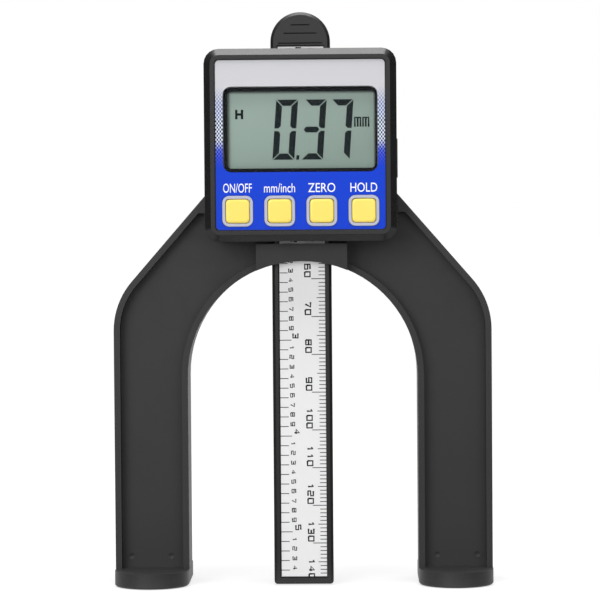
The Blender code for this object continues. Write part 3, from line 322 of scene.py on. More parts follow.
@dataclass(frozen=True)
class LiquidCrystal:
    """Reflective display glass: a grey-green field with painted light that makes it lighter at the upper left, and
    painted shadow where its frame shades it.
    """

    name: str
    low_mm: tuple[float, float]
    high_mm: tuple[float, float]
    # Painted light: the field runs from the upper tone at the upper left to the lower tone at the lower right.
    upper: str = "a6bab1"
    lower: str = "93a79c"
    slant: float = -0.3
    mottle: str = "5c6b63"
    mottle_mm: float = 0.25
    mottle_strength: float = 0.1
    # Widths of the frame's painted shadow: left and right, then bottom and top.
    side_rims_mm: tuple[float, float] = (1.3, 0.6)
    end_rims_mm: tuple[float, float] = (0.15, 0.9)
    rim_dark: str = "525c58"

    def material(self) -> bpy.types.Material:
        """Builds the field as a slanted blend with a fine mottling, lighter at the upper left as painted light, and a
        soft band of painted shadow inside the frame.

        Returns:
            The material.
        """
        finish = Finish(self.name, roughness=0.45, ior=1.5, specular_ior_level=0.15)
        place, add = finish.place, finish.add
        parts = add("SeparateXYZ", {0: place}).outputs
        # Painted light: a slanted blend, lighter towards the upper left.
        slanted = add("Math", {"operation": "MULTIPLY_ADD", 0: parts[0], 1: self.slant, 2: parts[2]})
        low, high = self.low_mm[1] * MM, self.high_mm[1] * MM
        share = add("MapRange", {"Value": slanted, "From Min": low, "From Max": high})
        plain = add("Mix", {"data_type": "RGBA", 0: share, 6: linear(self.lower), 7: linear(self.upper)})
        grain = add("TexNoise", {"Scale": per_metre(self.mottle_mm), "Detail": 2.0, "Vector": place})
        faint = add("MapRange", {"Value": grain, "To Max": self.mottle_strength})
        mottled = add("Mix", {"data_type": "RGBA", 0: faint, 6: plain.outputs[2], 7: linear(self.mottle)})
        # Painted shadow of the frame: dark at each edge of the view, fading inwards over its width.
        lit = 1.0
        for axis, index, shadow_widths in ((0, 0, self.side_rims_mm), (2, 1, self.end_rims_mm)):
            for edge, inwards in ((self.low_mm[index], shadow_widths[0]), (self.high_mm[index], -shadow_widths[1])):
                ends = {"From Min": edge * MM, "From Max": (edge + inwards) * MM}
                inside = add("MapRange", {"interpolation_type": "SMOOTHSTEP", "Value": parts[axis], **ends})
                lit = add("Math", {"operation": "MULTIPLY", 0: lit, 1: inside})
        shaded = add("Mix", {"data_type": "RGBA", 0: lit, 6: linear(self.rim_dark), 7: mottled.outputs[2]})
        finish.shade(base_color=shaded.outputs[2])
        return finish.material


@dataclass(frozen=True)
class ClearAcrylic:
    """Cast acrylic lens: nearly invisible, with a faint haze of handling marks in its gloss."""

    name: str
    tint: str = "30383a"
    alpha: float = 0.05
    haze_mm: float = 6.0
    sheen: tuple[float, float] = (0.04, 0.14)

    def material(self) -> bpy.types.Material:
        """Builds a thin clear film whose roughness varies slightly.

        Returns:
            The material.
        """
        finish = Finish(self.name, base_color=linear(self.tint), alpha=self.alpha, ior=1.49)
        haze = finish.add("TexNoise", {"Scale": per_metre(self.haze_mm), "Detail": 4.0, "Vector": finish.place})
        low, high = self.sheen
        finish.shade(roughness=finish.add("MapRange", {"Value": haze, "To Min": low, "To Max": high}))
        return finish.material


@dataclass(frozen=True)
class CoatedBoard:
    """Glass-fibre laminate under solder mask: the weave shows as a fine crossed ripple."""

    name: str
    mask: str
    copper: str
    track_mm: float = 1.3
    track_edge: tuple[float, float] = (0.32, 0.36)
    weave_mm: float = 0.5
    weave_height_mm: float = 0.01

    def material(self) -> bpy.types.Material:
        """Builds the mask's colour with copper tracks showing through, over the woven cloth.

        Returns:
            The material.
        """
        finish = Finish(self.name, roughness=0.35, ior=1.55)
        place, add = finish.place, finish.add
        cells = add("TexVoronoi", {"distance": "CHEBYCHEV", "Scale": per_metre(self.track_mm), "Vector": place})
        low, high = self.track_edge
        lines = add("MapRange", {"Value": cells, "From Min": low, "From Max": high})
        colour = add("Mix", {"data_type": "RGBA", 0: lines, 6: linear(self.mask), 7: linear(self.copper)})
        pitch = per_metre(self.weave_mm) / math.tau
        weave = add("TexWave", {"Scale": pitch, "Distortion": 0.3, "Vector": place})
        finish.shade(
            base_color=colour.outputs[2],
            normal=add("Bump", {"Strength": 0.3, "Distance": self.weave_height_mm * MM, "Height": weave}),
        )
        return finish.material


def mixed_palette() -> Palette:
    """Mixes every finish; the film's and the display's patterns follow their solids.

    Returns:
        Each finish by what it is for.
    """
    low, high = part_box("face_overlay")
    film_mm = ((low.z + high.z) / 2 / MM, (high.z - low.z) / 2 / MM)
    low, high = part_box("lcd_panel")
    left, bottom, right, top = 0.68, 0.65, 0.23, 0.7  # what the mask hides of the display, in millimetres
    view_mm = ((low.x / MM + left, low.z / MM + bottom), (high.x / MM - right, high.z / MM - top))
    plastic = MouldedPlastic
    finishes = {
        # Spark-eroded mould: a fine even grain that lifts black to a dull grey.
        "frame": plastic("textured_black_abs", "1f1f1f", "262626", 0.5, 0.3, 0.008, gloss=0.34),
        # Polished mould: deep black with soft-edged reflections.
        "module": plastic("satin_black_abs", "121213", "181819", 0.28, 0.5, 0.003, gloss=0.32),
        # Lightly eroded mould: between those two.
        "back": plastic("fine_grained_black_abs", "161617", "1d1d1e", 0.42, 0.3, 0.007, gloss=0.34),
        # Acetal slides well and looks a little waxy.
        "blade": plastic("smooth_black_acetal", "171717", "1e1e1e", 0.38, 0.4, 0.004, gloss=0.3),
        "overlay": FadedPrint("halftone_printed_film", *film_mm),
        "lens": ClearAcrylic("clear_cast_acrylic"),
        # Ink round the window: it gives back next to no light.
        "mask": plastic("matt_black_ink", "08080a", "0d0d10", 0.5, 0.4, 0.002, gloss=0.06),
        "display": LiquidCrystal("reflective_display_glass", *view_mm),
        # Twisted crystal: dark blue-grey, with hardly any shine of its own.
        "segment": plastic("dark_crystal_segment", "0d1618", "131c1e", 0.5, 0.3, 0.001, gloss=0.08),
        # Plain white moulding, rubber in dull dark layers, and resin with a fine dull grain.
        "white_plastic": plastic("white_moulded_abs", "d9d9d4", "e6e6e2", 0.5),
        "rubber": plastic("layered_conductive_rubber", "262626", "3b3b3b", 0.8, 0.2, 0.01, 1.0),
        "resin": plastic("black_moulded_resin", "161616", "1e1e1e", 0.55),
        # Solder mask shows its copper as paler green, bare laminate as brown pads on tan.
        "board": CoatedBoard("green_masked_board", "0d4a26", "1c6b3a"),
        "laminate": CoatedBoard("bare_laminate_with_pads", "7a6a3a", "b87a3c", 2.0),
        # Bright steel, warmer and glossier nickel, brown bronze, and zinc in a duller blue-grey.
        "steel": PlatedMetal("bright_drawn_steel", "c9c9c6", "b9b9b5", 0.25),
        "nickel": PlatedMetal("nickel_plate", "c6c3bb", "d2d0ca", 0.22),
        "bronze": PlatedMetal("rolled_phosphor_bronze", "b5824a", "c4935a", 0.32),
        "zinc": PlatedMetal("zinc_plated_steel", "a9abae", "bcbdbf", 0.35),
        # Smooth moulds: a cool pale grey, and yellow whose flow marks are small.
        "collar": plastic("light_grey_abs", "b0b2c2", "babccc", 0.35, 0.3, 0.003),
        "button": plastic("satin_yellow_abs", "f9df62", "fde36c", 0.38, 0.3, 0.003, 6.0),
        # White film with a soft sheen, and inks that lie on it nearly dull.
        "label": plastic("satin_label_film", "e7e7e7", "ededed", 0.45, 0.5, 0.002, gloss=0.3),
        "ink": plastic("black_printing_ink", "101010", "181818", 0.5, 0.2, 0.001, gloss=0.15),
        "legend": plastic("white_printing_ink", "f2f4fb", "fafbff", 0.45, 0.2, 0.001),
    }
    return {use: finish.material() for use, finish in finishes.items()}


def only(piece: Piece) -> None:
    """Makes a piece the only one selected, and active.

    Args:
        piece: The piece.
    """
    bpy.ops.object.select_all(action="DESELECT")
    piece.select_set(True)
    bpy.context.view_layer.objects.active = piece


@contextmanager
def editing(piece: Piece, kind: Element = Element.POINTS) -> Iterator[None]:
    """Opens the piece in edit mode with nothing selected.

    Args:
        piece: Mesh to edit.
        kind: What is selected there.
    """
    only(piece)
    bpy.ops.object.mode_set(mode="EDIT")
    bpy.ops.mesh.select_mode(type=kind.value[0])
    bpy.ops.mesh.select_all(action="DESELECT")
    yield
    bpy.ops.object.mode_set(mode="OBJECT")


def pick(piece: Piece, kind: Element, test: Callable[[bpy.types.bpy_struct], bool]) -> None:
    """Selects what passes a test, from inside edit mode.

    Args:
        piece: The mesh that is being edited.
        kind: What is tested.
        test: Takes one of them.
    """
    bpy.ops.object.mode_set(mode="OBJECT")
    for item in getattr(piece.data, kind.value[1]):
        item.select = test(item)
    bpy.ops.object.mode_set(mode="EDIT")


def finish_with(piece: Piece, kind: str, **settings: object) -> None:
    """Adds a modifier and applies it.

    Args:
        piece: Mesh that it changes.
        kind: Blender's name of the modifier.
        **settings: Its properties.
    """
    modifier = piece.modifiers.new(kind.lower(), kind)
    for key, value in settings.items():
        setattr(modifier, key, value)
    only(piece)
    bpy.ops.object.modifier_apply(modifier=modifier.name)


def smooth(piece: Piece, degrees: float = 32.0) -> None:
    """Shades the piece smooth except across edges sharper than this."""
    only(piece)
    bpy.ops.object.shade_smooth_by_angle(angle=math.radians(degrees))


def settled(piece: Piece, name: str, material: bpy.types.Material) -> Piece:
    """Names a piece and puts its place into its mesh.

    Args:
        piece: The piece.
        name: Its name.
        material: Its one finish.

    Returns:
        The piece.
    """
    piece.name = name
    piece.data.name = name
    only(piece)
    bpy.ops.object.transform_apply(location=True, rotation=True, scale=True)
    piece.data.materials.clear()
    piece.data.materials.append(material)
    return piece


def joined(pieces: list[Piece], name: str, material: bpy.types.Material) -> Piece:
    """Joins meshes into one piece.

    Args:
        pieces: The meshes.
        name: Name of the piece.
        material: Its finish.

    Returns:
        The piece.
    """
    only(pieces[0])
    for piece in pieces:
        piece.select_set(True)
    bpy.ops.object.join()
    return settled(pieces[0], name, material)


def fitted(piece: Piece, body: Body, slot: str, *nodes: str) -> None:
    """Sets a finished piece on its body.

    Args:
        piece: The piece.
        body: Body that carries it.
        slot: Slot of its finish; not used.
        *nodes: Solids that it stands for.
    """
    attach(piece, body.value)
    if nodes:
        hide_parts(*nodes)
    LOG.info("%s: %d faces on %s", piece.name, len(piece.data.polygons), body.value)


def dressed(node: str, material: bpy.types.Material) -> None:
    """Gives a solid that keeps its own shape its finish.

    Args:
        node: The solid.
        material: The finish.
    """
    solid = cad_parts[node]
    solid.data.materials.clear()
    solid.data.materials.append(material)
    LOG.info("%s: finish %s", node, material.name)


def traced(node: str, name: str) -> Piece:
    """Starts a piece from a solid's faces, with each flat in one face.

    Args:
        node: The solid.
        name: Name of the piece.

    Returns:
        The piece, where its solid is.
    """
    piece = bpy.data.objects.new(name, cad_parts[node].data.copy())
    bpy.context.scene.collection.objects.link(piece)
    with editing(piece):
        bpy.ops.mesh.select_all(action="SELECT")
        bpy.ops.mesh.remove_doubles(threshold=WELD_MM * MM)
        bpy.ops.mesh.dissolve_limited(angle_limit=math.radians(FLAT_DEG))
    return piece


def softened(
    node: str, name: str, radius_mm: float, material: bpy.types.Material, segments: int = 2, turn: float = 30.0,
) -> Piece:
    """Models a moulded piece over its solid, with its sharp edges rounded over and its flats still flat to the eye.

    Args:
        node: Solid whose faces start the piece.
        name: The piece's name.
        radius_mm: Radius of its edges.
        material: Its finish.
        segments: Faces across each rounded edge.
        turn: Degrees from which an edge counts as sharp.

    Returns:
        The piece, where its solid is.
    """
    piece = traced(node, name)
    finish_with(
        piece, "BEVEL", width=radius_mm * MM, segments=segments, limit_method="ANGLE",
        angle_limit=math.radians(turn), use_clamp_overlap=True, miter_outer="MITER_ARC",
    )
    smooth(piece, ROUNDED_DEG)
    finish_with(piece, "WEIGHTED_NORMAL", keep_sharp=True, weight=100, mode="FACE_AREA")
    return settled(piece, name, material)


def block(name: str, low: Vector, high: Vector) -> Piece:
    """Adds a box, as a start for a piece.

    Args:
        name: Its name.
        low: Its lowest corner, in metres.
        high: Its highest corner.

    Returns:
        The box.
    """
    bpy.ops.object.select_all(action="DESELECT")
    bpy.ops.mesh.primitive_cube_add(size=1.0, location=(low + high) / 2)
    piece = bpy.context.active_object
    piece.name = name
    piece.scale = high - low
    bpy.ops.object.transform_apply(location=True, rotation=True, scale=True)
    return piece


class Turn(Enum):
    """How lettering stands on a face that looks forward."""

    UPRIGHT = Matrix(((1, 0, 0), (0, 0, -1), (0, 1, 0)))
    CLOCKWISE = Matrix(((0, 1, 0), (0, 0, -1), (-1, 0, 0)))


STROKES: dict[str, list[list[tuple[float, float]]]] = {
    "0": [[(0, 0), (1, 0), (1, 1), (0, 1), (0, 0)]],
    "1": [[(0.3, 0.75), (0.65, 1), (0.65, 0)]],
    "2": [[(0, 1), (1, 1), (1, 0.52), (0, 0.48), (0, 0), (1, 0)]],
    "3": [[(0, 1), (1, 1), (1, 0), (0, 0)], [(0.25, 0.5), (1, 0.5)]],
    "4": [[(0.75, 0), (0.75, 1), (0, 0.35), (1, 0.35)]],
    "5": [[(1, 1), (0, 1), (0, 0.55), (1, 0.55), (1, 0), (0, 0)]],
    "6": [[(1, 1), (0, 1), (0, 0), (1, 0), (1, 0.55), (0, 0.55)]],
    "7": [[(0, 1), (1, 1), (0.4, 0)]],
    "8": [[(0, 0), (1, 0), (1, 1), (0, 1), (0, 0)], [(0, 0.52), (1, 0.52)]],
    "9": [[(0, 0), (1, 0), (1, 1), (0, 1), (0, 0.45), (1, 0.45)]],
    "H": [[(0, 0), (0, 1)], [(1, 0), (1, 1)], [(0, 0.5), (1, 0.5)]],
    "m": [[(0, 0), (0, 1), (1, 1), (1, 0)], [(0.5, 0), (0.5, 1)]],
}


@dataclass(frozen=True)
class StrokeLettering:
    """Square engraved-style characters drawn with one pen width."""

    height_mm: float
    width_mm: float
    gap_mm: float
    pen_mm: float
    turn: Turn = Turn.UPRIGHT

    def length_mm(self, words: str) -> float:
        """Length of a line of characters, pen included."""
        return len(words) * self.width_mm + (len(words) - 1) * self.gap_mm

    def written(self, name: str, words: str, start: Vector) -> Piece:
        """Draws characters from a start point along the reading direction.

        Args:
            name: The piece's name.
            words: Characters, each known to STROKES.
            start: Lower left corner of the first character as it is read, in metres.

        Returns:
            The lettering as a thin flat mesh.
        """
        curve = bpy.data.curves.new(name, "CURVE")
        curve.dimensions = "3D"
        curve.bevel_depth = self.pen_mm * MM / 2
        curve.bevel_resolution = 1
        curve.use_fill_caps = True
        box_width = self.width_mm - self.pen_mm
        box_height = self.height_mm - self.pen_mm
        for index, letter in enumerate(words):
            left = index * (self.width_mm + self.gap_mm) + self.pen_mm / 2
            for stroke in STROKES[letter]:
                spline = curve.splines.new("POLY")
                spline.points.add(len(stroke) - 1)
                for point, (across, up) in zip(spline.points, stroke):
                    place = Vector((left + across * box_width, self.pen_mm / 2 + up * box_height, 0.0)) * MM
                    point.co = (*place, 1.0)
        piece = bpy.data.objects.new(name, curve)
        bpy.context.scene.collection.objects.link(piece)
        only(piece)
        bpy.ops.object.convert(target="MESH")
        piece = bpy.context.active_object
        flat = Matrix.Scale(INK_MM / self.pen_mm, 4, Vector((0, 0, 1)))
        piece.data.transform(Matrix.Translation(start) @ self.turn.value.to_4x4() @ flat)
        return piece


def printed_words(words: str, centre: Vector, width_mm: float, height_mm: float, weight: float) -> Piece:
    """Sets plain sans-serif words to a width and height on a face that looks forward.

    Args:
        words: The words.
        centre: Middle of the words, in metres.
        width_mm: Width of the whole line.
        height_mm: Height of the whole line.
        weight: How much the strokes are thickened, as a share of the letter size.

    Returns:
        The words as a thin mesh.
    """
    bpy.ops.object.select_all(action="DESELECT")
    bpy.ops.object.text_add()
    text = bpy.context.active_object.data
    text.body = words
    text.resolution_u = 4
    text.offset = weight
    text.extrude = 0.01
    bpy.ops.object.convert(target="MESH")
    piece = bpy.context.active_object
    places = [point.co for point in piece.data.vertices]
    low, high = (Vector([end(place[axis] for place in places) for axis in range(3)]) for end in (min, max))
    size = high - low
    scale = Matrix.Diagonal((width_mm * MM / size.x, height_mm * MM / size.y, INK_MM * MM / size.z, 1.0))
    stand = Turn.UPRIGHT.value.to_4x4()
    piece.data.transform(Matrix.Translation(centre) @ stand @ scale @ Matrix.Translation(-(low + high) / 2))
    return piece


@dataclass
class ArchFrame:
    """The black moulding with its feet, magnets, spring and screws."""

    palette: Palette
    edge_radius_mm: float = 0.22
    magnet_edge_mm: float = 0.15
    magnets: tuple[str, ...] = ("left_front_magnet", "left_rear_magnet", "right_front_magnet", "right_rear_magnet")
    panel_depth_mm: float = 3.7  # of the recessed panels' faces, before the frame's middle
    ejector_radius_mm: float = 0.8
    ejector_height_mm: float = 0.08
    ejector_rim_mm: float = 0.25
    ejector_dip_mm: float = 0.07
    ejector_spots_mm: tuple[tuple[float, float], ...] = ((35.47, 7.05), (46.1, 7.05))
    screw_edge_mm: float = 0.18
    screw_heads_mm: tuple[tuple[str, float], ...] = (("module_screw", 2.1), ("shell_screw", 1.5))
    recess_depth_mm: float = 0.7
    recess_shares: tuple[float, float] = (0.62, 0.16)
    recess_taper: float = 0.35

    def build(self) -> None:
        """Builds the frame and dresses what it carries."""
        moulding = softened("arch_frame", "arch_frame_moulding", self.edge_radius_mm, self.palette["frame"])
        fitted(moulding, Body.FRAME, "frame_plastic", "arch_frame")
        self.ejector_marks()
        for magnet in self.magnets:
            disc = softened(magnet, f"{magnet}_disc", self.magnet_edge_mm, self.palette["nickel"], FINE, METAL_DEG)
            fitted(disc, Body.FRAME, "magnet_nickel", magnet)
        dressed("friction_spring", self.palette["bronze"])
        self.screws()

    def ejector_marks(self) -> None:
        """Adds the faint round marks that the mould's ejector pins leave low on each leg's panel."""
        low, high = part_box("arch_frame")
        panel_y = low.y + (high.y - low.y) / 2 - self.panel_depth_mm * MM
        marks = []
        for side in (-1, 1):
            for across, up in self.ejector_spots_mm:
                bpy.ops.object.select_all(action="DESELECT")
                bpy.ops.mesh.primitive_cylinder_add(
                    vertices=28, radius=self.ejector_radius_mm * MM, depth=2 * self.ejector_height_mm * MM,
                    location=(side * across * MM, panel_y, up * MM), rotation=(math.pi / 2, 0.0, 0.0),
                )
                mark = bpy.context.active_object
                bpy.ops.object.transform_apply(location=True, rotation=True, scale=True)
                with editing(mark, Element.FACES):
                    pick(mark, Element.FACES, lambda face: face.normal.y < FORWARD)
                    bpy.ops.mesh.inset(thickness=self.ejector_rim_mm * MM)
                    bpy.ops.transform.translate(value=(0.0, self.ejector_dip_mm * MM, 0.0))
                marks.append(mark)
        piece = joined(marks, "ejector_marks", self.palette["frame"])
        smooth(piece)
        fitted(piece, Body.FRAME, "frame_plastic")

    def screws(self) -> None:
        """Models one pan-head screw of each size and copies it to each of its solids."""
        for stem, head_mm in self.screw_heads_mm:
            first = self.one_screw(f"{stem}_1", head_mm)
            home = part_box(f"{stem}_1")[0]
            for number in range(2, 5):
                node = f"{stem}_{number}"
                mesh = first.data.copy()
                mesh.name = f"{node}_fastener"
                mesh.transform(Matrix.Translation(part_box(node)[0] - home))
                other = bpy.data.objects.new(mesh.name, mesh)
                bpy.context.scene.collection.objects.link(other)
                fitted(other, Body.FRAME, "screw_zinc", node)
            fitted(first, Body.FRAME, "screw_zinc", f"{stem}_1")

    def one_screw(self, node: str, head_mm: float) -> Piece:
        """Models a screw over its solid, with a crowned head and a cross recess.

        Args:
            node: Solid that the screw stands for.
            head_mm: Radius of its head.

        Returns:
            The screw.
        """
        piece = softened(node, f"{node}_fastener", self.screw_edge_mm, self.palette["zinc"], FINE, METAL_DEG)
        low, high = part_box(node)
        crown = Vector(((low.x + high.x) / 2, high.y, (low.z + high.z) / 2))
        length, width = (head_mm * share for share in self.recess_shares)
        half = Vector((length, self.recess_depth_mm, width)) * MM
        cutters = []
        for turn in (0.0, math.pi / 2):
            arm = block("recess_arm", crown - half, crown + half)
            with editing(arm, Element.FACES):
                bpy.ops.mesh.select_all(action="SELECT")
                bpy.ops.transform.rotate(value=turn, orient_axis="Y", center_override=crown)
                pick(arm, Element.FACES, lambda face: face.normal.y < FORWARD)
                bpy.ops.transform.resize(value=(self.recess_taper, 1.0, self.recess_taper), center_override=crown)
            cutters.append(arm)
        for arm in cutters:
            finish_with(piece, "BOOLEAN", operation="DIFFERENCE", solver="EXACT", object=arm)
            bpy.data.objects.remove(arm, do_unlink=True)
        smooth(piece)
        return piece


@dataclass
class DisplayModule:
    """The square head: shells, printed face, window, display, buttons and battery."""

    palette: Palette
    bezel_edge_mm: float = 0.3
    case_edge_mm: float = 0.25
    button_edge_mm: float = 0.16
    cap_turn: float = 25.0
    drawer_edge_mm: float = 0.18
    cell_edge_mm: float = 0.15
    cell_turn: float = 40.0
    legends: tuple[str, ...] = ("ON/OFF", "mm/inch", "ZERO", "HOLD")
    legend_widths_mm: tuple[float, ...] = (7.5, 8.1, 7.1, 7.0)
    legend_height_mm: float = 2.4
    legend_rise_mm: float = 1.35
    legend_weight: float = 0.002
    cap_growth_mm: float = 0.1
    collar_share: float = 0.7
    window_corner_mm: float = 2.4
    window_reach_mm: float = 0.3
    film_overlap_mm: float = 0.26
    film_front_mm: float = 0.05
    film_lift_mm: float = 0.012
    buttons: tuple[Body, ...] = (Body.BUTTON_ON_OFF, Body.BUTTON_UNIT, Body.BUTTON_ZERO, Body.BUTTON_HOLD)
    kept_solids: dict[str, tuple[str, ...]] = field(default_factory=lambda: {
        "mask": ("window_mask",),
        "display": ("lcd_panel",),
        "lens": ("lcd_window",),
        "white_plastic": ("lcd_holder",),
        "rubber": ("lcd_contact_strip",),
        "board": ("circuit_board",),
        "laminate": ("sensor_board",),
        "resin": ("board_connector", "chip_cover"),
        "steel": ("quartz_crystal", "key_dome_1", "key_dome_2", "key_dome_3", "key_dome_4"),
        "nickel": ("negative_contact", "positive_contact"),
    })

    def build(self) -> None:
        """Builds the module from its shells inwards."""
        front = softened("front_shell", "front_bezel", self.bezel_edge_mm, self.palette["module"], FINE)
        fitted(front, Body.FRAME, "module_plastic", "front_shell")
        back = softened("back_shell", "rear_case", self.case_edge_mm, self.palette["back"])
        fitted(back, Body.FRAME, "back_plastic", "back_shell")
        for finish, nodes in self.kept_solids.items():
            for node in nodes:
                dressed(node, self.palette[finish])
        collars = softened("key_guide", "button_collars", self.button_edge_mm, self.palette["collar"], FINE)
        fitted(collars, Body.FRAME, "collar_plastic", "key_guide")
        for body in self.buttons:
            name = f"{body.value}_cap"
            cap = softened(body.value, name, self.button_edge_mm, self.palette["button"], FINE, self.cap_turn)
            self.widen(cap)
            fitted(cap, body, "button_plastic", body.value)
        self.lay_film()
        self.print_legends()
        drawer = softened("battery_drawer", "battery_drawer_tray", self.drawer_edge_mm, self.palette["back"])
        fitted(drawer, Body.DRAWER, "back_plastic", "battery_drawer")
        cell = softened("button_cell", "coin_cell", self.cell_edge_mm, self.palette["steel"], FINE, self.cell_turn)
        fitted(cell, Body.DRAWER, "bright_steel", "button_cell")

    def lay_film(self) -> None:
        """Lays the printed film, whose window overlaps the lens a little along its lower edge."""
        film = traced("face_overlay", "printed_film")
        low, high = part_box("window_mask")
        front_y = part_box("face_overlay")[0].y + self.film_front_mm * MM
        reach = self.window_reach_mm * MM
        left, right, bottom, top = low.x - reach, high.x + reach, low.z - reach, low.z + self.window_corner_mm * MM
        with editing(film):
            pick(film, Element.POINTS, lambda point: left < point.co.x < right and bottom < point.co.z < top)
            bpy.ops.transform.translate(value=(0.0, 0.0, self.film_overlap_mm * MM))
            bpy.ops.mesh.select_all(action="DESELECT")
            pick(film, Element.POINTS, lambda point: point.co.y < front_y)
            bpy.ops.transform.translate(value=(0.0, -self.film_lift_mm * MM, 0.0))
        piece = settled(film, "printed_film", self.palette["overlay"])
        fitted(piece, Body.FRAME, "overlay_print", "face_overlay")

    def widen(self, cap: Piece) -> None:
        """Widens a cap's visible part a little, so that the joint round it is as fine as the real one.

        Args:
            cap: The finished cap.
        """
        low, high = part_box("key_guide")
        flange_y = low.y + (high.y - low.y) * self.collar_share
        across = [point.co.x for point in cap.data.vertices if point.co.y < flange_y]
        up = [point.co.z for point in cap.data.vertices if point.co.y < flange_y]
        centre = Vector(((min(across) + max(across)) / 2, low.y, (min(up) + max(up)) / 2))
        growth = 1.0 + 2 * self.cap_growth_mm * MM / (max(across) - min(across))
        with editing(cap):
            pick(cap, Element.POINTS, lambda point: point.co.y < flange_y)
            bpy.ops.transform.resize(value=(growth, 1.0, growth), center_override=centre)

    def print_legends(self) -> None:
        """Prints what each button does above it, in white on the face."""
        middle_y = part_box("face_overlay")[0].y - (self.film_lift_mm + INK_GAP_MM + INK_MM / 2) * MM
        rise = (self.legend_rise_mm + self.legend_height_mm / 2) * MM
        for words, width, body in zip(self.legends, self.legend_widths_mm, self.buttons):
            low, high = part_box(body.value)
            centre = Vector(((low.x + high.x) / 2, middle_y, high.z + rise))
            text = printed_words(words, centre, width, self.legend_height_mm, self.legend_weight)
            fitted(settled(text, f"{body.value}_legend", self.palette["legend"]), Body.FRAME, "overlay_print")


